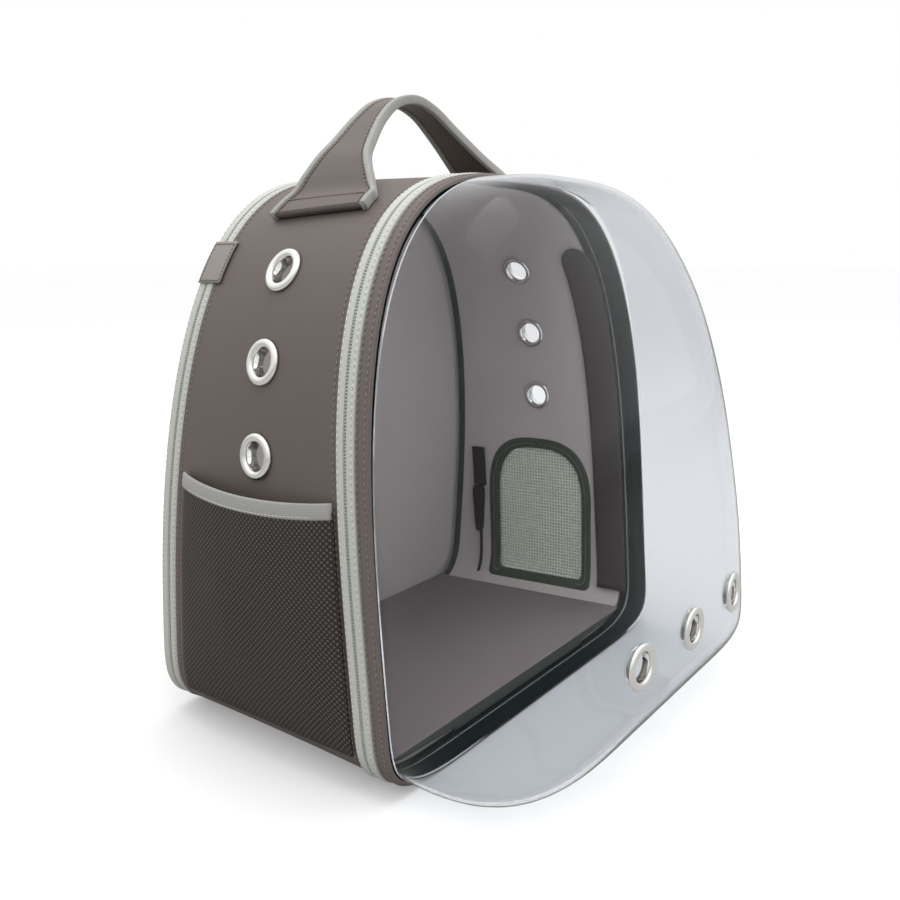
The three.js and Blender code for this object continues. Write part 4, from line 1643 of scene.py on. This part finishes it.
@dataclass
class CabinLining:
    """What shows inside: the floor pad, the dark flap and the leash."""

    form: BagForm
    flap_front: float = 1.0
    flap_back: float = 29.0
    flap_top: float = 335.0
    flap_low: float = 24.0
    leash_back: float = 151.0
    leash_top: float = 146.0
    tab_size: tuple[float, float] = (14.0, 38.0)
    cord: float = 3.0
    pad_round: float = 2.0
    flap_thick: float = 1.2
    tab_thick: float = 1.4
    flap_lift: float = 1.9
    tab_lift: float = 2.0
    cord_lift: float = 3.0
    flap_run: tuple[float, float] = (21.0, 330.0)
    cord_run: tuple[float, float] = (9.0, 44.0)
    flap_cells: tuple[int, int] = (10, 60)
    tab_cells: tuple[int, int] = (6, 16)
    cord_cells: tuple[int, int] = (14, 24)

    def pad(self) -> None:
        """Rounds and dresses the floor pad from its CAD solid, with grey painted shade on its sides."""
        bm = from_cad("floor_pad", 2.0)
        sharp = [edge for edge in bm.edges if edge.calc_face_angle(0.0) > math.radians(50)]
        bmesh.ops.bevel(
            bm, geom=sharp, offset=self.pad_round * MM, segments=3, profile=0.5, affect="EDGES", material=-1,
        )
        flat_uvs(bm, 0, 1)
        bm.normal_update()
        # Faces that don't face up take the grey painted shade, a dark line round the pad's edge
        for face in bm.faces:
            face.material_index = 0 if face.normal.z > 0.7 else 1
        pad = finish_piece("floor_pad_covered", bm, [FLOOR_CLOTH, PAINTED_SHADE_GREY], ["floor_pad"])

    def flap(self) -> None:
        """Builds the dark strip along the front of the far wall, with a rounded top."""
        half = (self.flap_back - self.flap_front) / 2

        def place(u: float, v: float) -> Vector:
            """Point of the strip's inner face.

            Args:
                u: Share of the way across.
                v: Share of the way up.

            Returns:
                The form's point.
            """
            z = self.flap_low + (self.flap_top - self.flap_low) * math.sin(v * math.pi / 2)
            from_top = max(half - (self.flap_top - z), 0.0)
            round_half = math.sqrt(max(half ** 2 - from_top ** 2, 0.4))
            y = self.form.front_plane(z) + self.flap_front + half + round_half * (2 * u - 1)
            return self.form.on_side(Side.RIGHT, y, z, -self.form.wall - self.flap_lift)

        bm = bent_grid(self.form, *self.flap_cells, place, self.flap_run)
        bmesh.ops.solidify(bm, geom=bm.faces[:], thickness=self.flap_thick * MM)
        strip = finish_piece("inner_flap_cloth", bm, [FLAP_CLOTH], ["inner_flap"])
        declare_sheet(self.form, place)

    def leash_tab(self) -> None:
        """Builds the leash's sewn tab."""
        width, length = self.tab_size

        def tab(u: float, v: float) -> Vector:
            """Point of the tab's face."""
            y, z = self.leash_back + width * (u - 0.5), self.leash_top - length + length * v
            return self.form.on_side(Side.RIGHT, y, z, -self.form.wall - self.tab_lift)

        bm = bent_grid(self.form, *self.tab_cells, tab, self.tab_size)
        bmesh.ops.solidify(bm, geom=bm.faces[:], thickness=self.tab_thick * MM)
        finish_piece("leash_tab_webbing", bm, [WEBBING], ["leash_tab"])

    def leash_clip(self) -> None:
        """Builds the leash's clip, a rounded block that narrows downwards."""
        low, high = (Vector(corner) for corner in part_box("leash_clip"))
        middle = (low + high) / 2
        size = high - low
        bm = bmesh.new()
        bmesh.ops.create_cube(bm, size=1.0)
        bmesh.ops.bevel(
            bm, geom=bm.edges[:], offset=0.22, segments=4, profile=0.5, affect="EDGES", material=-1,
        )
        for vert in bm.verts:
            taper = 0.5 + 0.5 * min(max(vert.co.z + 0.5, 0.0), 1.0)
            vert.co = middle + Vector((vert.co.x * size.x, vert.co.y * size.y * taper, vert.co.z * size.z))
        finish_piece("leash_clip_moulded", bm, [HOOK], ["leash_clip"])

    def leash_cord(self) -> None:
        """Builds the leash's short cord."""
        low, high = (corner[2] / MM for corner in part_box("leash_cord"))
        points = 24

        def centre(z: float) -> Vector:
            """Point of the cord's middle line at a height."""
            return self.form.on_side(Side.RIGHT, self.leash_back, z, -self.form.wall - self.cord_lift)

        def skin(u: float, v: float) -> Vector:
            """Point of the cord's round section.

            Args:
                u: Share of the way round the section.
                v: Share of the way up.

            Returns:
                The form's point.
            """
            angle = math.tau * u
            out = Vector((math.cos(angle), math.sin(angle), 0.0)) * self.cord / 2
            return centre(low + (high - low) * v) + out

        path = [self.form.to_frame(centre(high - (high - low) * i / (points - 1))) for i in range(points)]
        bm = bent_grid(self.form, *self.cord_cells, skin, self.cord_run)
        cap_ends(bm)
        piece = finish_piece("leash_cord_braid", bm, [WEBBING], ["leash_cord"])

    def build(self) -> None:
        """Builds all that shows in the cabin."""
        self.pad()
        self.flap()
        self.leash_tab()
        self.leash_clip()
        self.leash_cord()


@dataclass
class WovenTag:
    """Bare woven tag folded over the back zip band."""

    form: BagForm
    top: float = 334.0
    length: float = 27.0
    reach: float = 24.0
    seat: float = 0.9
    thick: float = 0.9
    margin: float = 0.06
    cloth: float = 0.8
    run: tuple[float, float] = (25.0, 30.0)
    cells: tuple[int, int] = (16, 16)
    stitches: int = 40
    stitch_size: tuple[float, float] = (1.8, 0.4)

    def place(self, u: float, v: float) -> Vector:
        """Point of the tag's outer face.

        Args:
            u: Share of the way to the back plane.
            v: Share of the way down.

        Returns:
            The form's point.
        """
        behind = -self.reach * (1 - u)
        z = self.top - self.length * v
        guess = self.form.locate(0.5, 0.93, self.form.back_plane(z) + behind, 2, z)[0]
        return self.form.station(End.BACK, behind, self.seat + self.thick, guess)

    def border(self, t: float) -> Vector:
        """Point of the border's stitch line, a quarter of the way on each side.

        Args:
            t: Share of the way round the border.

        Returns:
            The form's point.
        """
        side, share = divmod((t * 4) % 4, 1)
        low, high = self.margin, 1 - self.margin
        a = inside(share, self.margin)
        u, v = ((a, low), (high, a), (1 - a, high), (low, 1 - a))[int(side)]
        return self.place(u, v) + Vector((-0.3, 0.0, 0.1))

    def build(self) -> None:
        """Builds the tag and its stitched border."""
        bm = bent_grid(self.form, *self.cells, self.place, self.run)
        bmesh.ops.solidify(bm, geom=bm.faces[:], thickness=self.cloth * MM)
        tag = finish_piece("label_tag_woven", bm, [TAG_CLOTH], ["label_tag"])
        declare_sheet(self.form, self.place)
        rows = [(self.border, self.stitches)]
        sew("label_tag_stitches", self.form, rows, THREAD, "tag", *self.stitch_size)


@dataclass
class CarryHandle:
    """Wide carry handle with flared feet, bound edges and sewn hems."""

    form: BagForm
    half_span: float = 105.0
    hem: float = 12.0
    rise: float = 85.0
    back: float = 75.0
    tilt: float = 17.0
    base_width: float = 85.0
    top_width: float = 26.0
    thick: float = 5.0
    edge: float = 4.5
    edge_proud: float = 0.8
    seat: float = 0.9
    overlap: float = 0.6
    sunk: float = 0.2
    seam: float = 2.0
    seam_hem: float = 0.004
    hem_margin: float = 0.08
    hem_lift: float = 0.15
    hems: tuple[float, ...] = (0.012, 0.1, 0.9, 0.988)
    fullness: tuple[float, float] = (0.35, 0.45)
    run: float = 400.0
    columns: int = 150
    strap_cells: int = 36
    seam_stitches: int = 100
    hem_stitches: int = 22
    probe: float = 0.004
    # Reach out, height, tilt and flare of each place up the near side, as shares
    stations: tuple[tuple[float, float, float, float], ...] = (
        (0.8, 0.29, 0.22, 0.62), (0.7, 0.45, 0.45, 0.36), (0.57, 0.59, 0.65, 0.2),
        (0.38, 0.79, 0.9, 0.06), (0.2, 0.94, 1.0, 0.0), (0.0, 1.0, 1.0, 0.0),
    )
    rows: list[list[float]] = field(default_factory=list)

    def __post_init__(self) -> None:
        """Lists x, z, width, y and hug for each row, from the near foot to the far one."""
        near = []
        for share in (0.0, 0.5, 1.0):
            x = -(self.half_span - self.hem * share)
            z = self.form.on_crown(x, self.back, self.seat + self.thick / 2).z
            near.append([x, z, self.base_width - self.hem * share * 0.4, self.back, 1.0])
        foot = self.form.on_crown(-self.half_span, self.back, self.seat).z
        for out, up, tilt, flare in self.stations:
            width = self.top_width + (self.base_width - self.top_width) * flare
            near.append([
                -self.half_span * out, foot + self.rise * up, width, self.back + self.tilt * tilt, 0.0,
            ])
        self.rows = near + [[-row[0], *row[1:]] for row in reversed(near[:-1])]

    def point(self, along: float, across: float, shift: float, lift: float) -> Vector:
        """Point of the handle.

        Args:
            along: Share of the way along the handle.
            across: Share of its width, from front to back.
            shift: Extra distance across.
            lift: Distance out from its middle surface.

        Returns:
            The form's point.
        """
        x, z, width, y_mid, hug = smooth_row(self.rows, along)
        y = y_mid + width * (across - 0.5) + shift
        ahead = smooth_row(self.rows, min(along + self.probe, 1.0))
        behind = smooth_row(self.rows, max(along - self.probe, 0.0))
        way = Vector((ahead[0] - behind[0], ahead[1] - behind[1])).normalized()
        bar = Vector((x - way.y * lift, y, z + way.x * lift))
        hug = min(max(hug, 0.0), 1.0)
        if hug <= 0.001:
            return bar
        held = self.form.on_crown(x, y, self.seat + self.thick / 2 + lift)
        return bar.lerp(held, hug)

    def bar(
        self, name: str, first: tuple[float, float], last: tuple[float, float], proud: float,
        finish: bpy.types.Material, slot: str, cells: int = 16,
    ) -> None:
        """Builds one length of the handle between two places across it.

        Args:
            name: The CAD node.
            first: Share of the width and shift where it starts.
            last: Share and shift where it ends.
            proud: Extra thickness on each face.
            finish: Its material.
            slot: Its material slot; not used.
            cells: Cells round its section.
        """
        half = self.thick / 2 + proud

        def section(u: float, v: float) -> Vector:
            """Point of the rounded section.

            Args:
                u: Share of the way along.
                v: Share of the way round the section.

            Returns:
                The form's point.
            """
            side, up = squared(v, *self.fullness)
            share = 0.5 - 0.5 * side
            across = first[0] + (last[0] - first[0]) * share
            shift = first[1] + (last[1] - first[1]) * share
            return self.point(u, across, shift, half * up)

        bm = bent_grid(self.form, self.columns, cells, section, (self.run, 2 * self.base_width))
        cap_ends(bm)
        finish_piece(f"{name}_made", bm, [finish], [name])

    def build(self) -> None:
        """Builds the strap, both bindings, and the stitches along its edges and across its hems."""
        inner = self.edge - self.overlap
        self.bar(
            "handle_strap", (0.0, inner), (1.0, -inner), -self.sunk, LEATHER, "leather", self.strap_cells,
        )
        self.bar("handle_binding_fore", (0.0, 0.0), (0.0, self.edge), self.edge_proud, BINDING, "binding")
        self.bar("handle_binding_rear", (1.0, -self.edge), (1.0, 0.0), self.edge_proud, BINDING, "binding")
        face = self.thick / 2 - self.sunk
        along = [
            (
                lambda t, a=across, s=shift: self.point(inside(t, self.seam_hem), a, s, face + THREAD_LIFT),
                self.seam_stitches,
            )
            for across, shift in ((0.0, self.edge + self.seam), (1.0, -self.edge - self.seam))
        ]
        hems = [
            (
                lambda t, e=end: self.point(e, inside(t, self.hem_margin), 0.0, face + self.hem_lift),
                self.hem_stitches,
            )
            for end in self.hems
        ]
        sew("handle_stitches", self.form, along + hems, THREAD, "leather")


@dataclass
class ShoulderStraps:
    """Two padded shoulder straps with webbing tails on the back panel."""

    border: float = 5.0
    pitch: float = 4.2
    thread: float = 0.6
    stitch_share: float = 0.65
    facing: float = 0.35
    strap_round: float = 2.6
    tail_round: float = 0.4

    def dress(self, node: str, finish: bpy.types.Material, slot: str, rounding: float) -> bpy.types.Object:
        """Rounds a strap or a tail from its CAD solid.

        Args:
            node: The CAD node.
            finish: Its material.
            slot: Its material slot; not used.
            rounding: Width of the rounded edge, in millimetres.

        Returns:
            The new piece.
        """
        bm = from_cad(node, 1.0)
        flat_uvs(bm, 0, 2)
        piece = finish_piece(f"{node}_sewn", bm, [finish], [node])
        bevel = piece.modifiers.new("soft_edge", "BEVEL")
        bevel.width = rounding * MM
        bevel.segments = 3
        bevel.limit_method = "ANGLE"
        bevel.angle_limit = math.radians(25)
        return piece

    def stitch(self, node: str) -> None:
        """Sews a stitch line inside the edge of a strap's outer face.

        Args:
            node: The strap's CAD node.
        """
        bm = from_cad(node, 1.0)
        bm.normal_update()
        outer = [face for face in bm.faces if face.normal.y > self.facing]
        bmesh.ops.inset_region(
            bm, faces=outer, thickness=self.border * MM, use_even_offset=True, use_boundary=True,
        )
        lines = [
            (edge.verts[0].co.copy(), edge.verts[1].co.copy())
            for edge in bm.edges if sum(face in outer for face in edge.link_faces) == 1
        ]
        bm.free()
        seam = bmesh.new()
        length = self.pitch * self.stitch_share
        size = Matrix.Diagonal((length * MM, self.thread * MM, self.thread * MM, 1.0))
        for start, stop in lines:
            count = max(round((stop - start).length / MM / self.pitch), 1)
            turn = (stop - start).normalized().to_track_quat("X", "Z").to_matrix().to_4x4()
            for i in range(count):
                place = start.lerp(stop, (i + 0.5) / count)
                bmesh.ops.create_cube(seam, size=1.0, matrix=Matrix.Translation(place) @ turn @ size)
        finish_piece(f"{node}_stitches", seam, [THREAD])

    def build(self) -> None:
        """Builds both straps and their tails."""
        for word in ("left", "right"):
            strap = f"shoulder_strap_{word}"
            self.dress(strap, LEATHER, "leather", self.strap_round)
            self.stitch(strap)
            self.dress(f"strap_webbing_{word}", WEBBING, "webbing", self.tail_round)


@dataclass
class Studio:
    """Pale floor, soft studio lights and the camera at the photograph's place."""

    form: BagForm
    eye: tuple[float, float, float] = (-533.484, -374.044, 320.288)
    yaw: float = 1.03
    pitch: float = -0.193
    roll: float = 0.002
    focal: float = 36.285
    shift: tuple[float, float] = (-0.1402, -0.011)
    sky: tuple[float, float] = (0.55, 1.35)
    paper: str = "#d2d2d2"
    paper_glow: float = 0.22
    paper_half: float = 40.0
    paper_drop: float = 0.0008
    horizon: tuple[float, float] = (-0.1, 0.9)
    look_at: tuple[float, float, float] = (0.0, 0.0, 0.2)
    floor_bounce: str = "#a5a3a2"
    # Name, place and side in metres, and power in watts
    lights: tuple[tuple[str, tuple[float, float, float], float, float], ...] = (
        ("key", (-1.6, -1.4, 1.9), 1.4, 10.0), ("fill", (1.9, -1.6, 1.2), 1.8, 8.0),
        ("top", (0.0, -0.2, 2.4), 1.6, 28.0),
    )

    @staticmethod
    def seen(tree: bpy.types.NodeTree) -> bpy.types.NodeSocket:
        """Gives 1 where the set is looked at, bare or through the clear shell, and 0 in bounces.

        Args:
            tree: The node tree that takes the nodes.

        Returns:
            The socket that holds the value.
        """
        path = add(tree, "LightPath")
        either = add(tree, "Math", {
            0: path.outputs["Is Camera Ray"], 1: path.outputs["Is Transmission Ray"],
        }, operation="MAXIMUM")
        return either.outputs["Value"]

    def camera(self) -> None:
        """Adds the camera from its fitted place and turn."""
        data = bpy.data.cameras.new("camera")
        data.lens = self.focal
        data.sensor_width = 36.0
        data.sensor_fit = "HORIZONTAL"
        data.shift_x, data.shift_y = self.shift
        data.clip_start = 0.01
        camera = bpy.data.objects.new("camera", data)
        camera.location = self.form.to_frame(Vector(self.eye))
        camera.rotation_euler = Euler((math.pi / 2 + self.pitch, self.roll, -self.yaw), "XYZ")
        bpy.context.scene.collection.objects.link(camera)
        bpy.context.scene.camera = camera

    def floor(self) -> None:
        """Adds the wide paper floor, just under the bag."""
        bm = bmesh.new()
        bmesh.ops.create_grid(bm, x_segments=2, y_segments=2, size=self.paper_half)
        mesh = bpy.data.meshes.new("floor")
        bm.to_mesh(mesh)
        bm.free()
        floor = bpy.data.objects.new("studio_floor", mesh)
        floor.location = (0.0, 0.0, -self.paper_drop)
        material, tree = start_material("studio_paper_white")
        looked_at = add(
            tree, "BsdfPrincipled", Base_Color=linear(self.paper), Roughness=0.9,
            Emission_Color=linear("#ffffff"), Emission_Strength=self.paper_glow,
        )
        bounced = add(tree, "BsdfDiffuse", Color=linear(self.floor_bounce))
        surface = add(tree, "MixShader", {
            "Fac": self.seen(tree), 1: bounced.outputs["BSDF"], 2: looked_at.outputs["BSDF"],
        })
        add(tree, "OutputMaterial", {"Surface": surface.outputs["Shader"]})
        mesh.materials.append(material)
        bpy.context.scene.collection.objects.link(floor)

    def heaven(self) -> None:
        """Adds the sky: white where it is looked at, and brighter upwards in bounces."""
        world = bpy.data.worlds.new("studio_sky")
        bpy.context.scene.world = world
        world.use_nodes = True
        tree = world.node_tree
        tree.nodes.clear()
        way = add(tree, "TexCoord")
        axes = add(tree, "SeparateXYZ", {"Vector": way.outputs["Object"]})
        climb = add(
            tree, "MapRange", {"Value": axes.outputs["Z"]},
            From_Min=self.horizon[0], From_Max=self.horizon[1], To_Min=self.sky[0], To_Max=self.sky[1],
        )
        level = add(tree, "Mix", {"Factor": self.seen(tree), 2: climb.outputs["Result"]})
        level.inputs[3].default_value = 1.0
        glow = add(tree, "Background", {"Strength": level.outputs[0]}, Color=linear("#ffffff"))
        add(tree, "OutputWorld", {"Surface": glow.outputs["Background"]})

    def soft_lights(self) -> None:
        """Adds the square soft lights, which look at the bag and aren't mirrored in it."""
        for name, place, size, power in self.lights:
            data = bpy.data.lights.new(name, "AREA")
            data.size = size
            data.energy = power
            light = bpy.data.objects.new(name, data)
            light.location = place
            light.visible_glossy = False
            look = Vector(self.look_at) - Vector(place)
            light.rotation_euler = look.to_track_quat("-Z", "Y").to_euler()
            bpy.context.scene.collection.objects.link(light)

    def build(self) -> None:
        """Builds the camera, the floor, the sky and the lights."""
        self.camera()
        self.floor()
        self.heaven()
        self.soft_lights()
        bpy.context.scene.view_settings.view_transform = "Standard"


def main() -> None:
    logging.basicConfig(level=logging.INFO, format="%(name)s: %(message)s")
    form = BagForm()
    Studio(form).build()
    eyelets = VentEyelets(form)
    window = NetWindow(form)
    SideWall(form, window, eyelets).build()
    window.build()
    ZipBands(form).build()
    BackPanel(form).build()
    NetPocket(form).build()
    CabinLining(form).build()
    WovenTag(form).build()
    CarryHandle(form).build()
    ShoulderStraps().build()
    BubbleShell(form, eyelets).build()


if __name__ == "__main__":
    main()
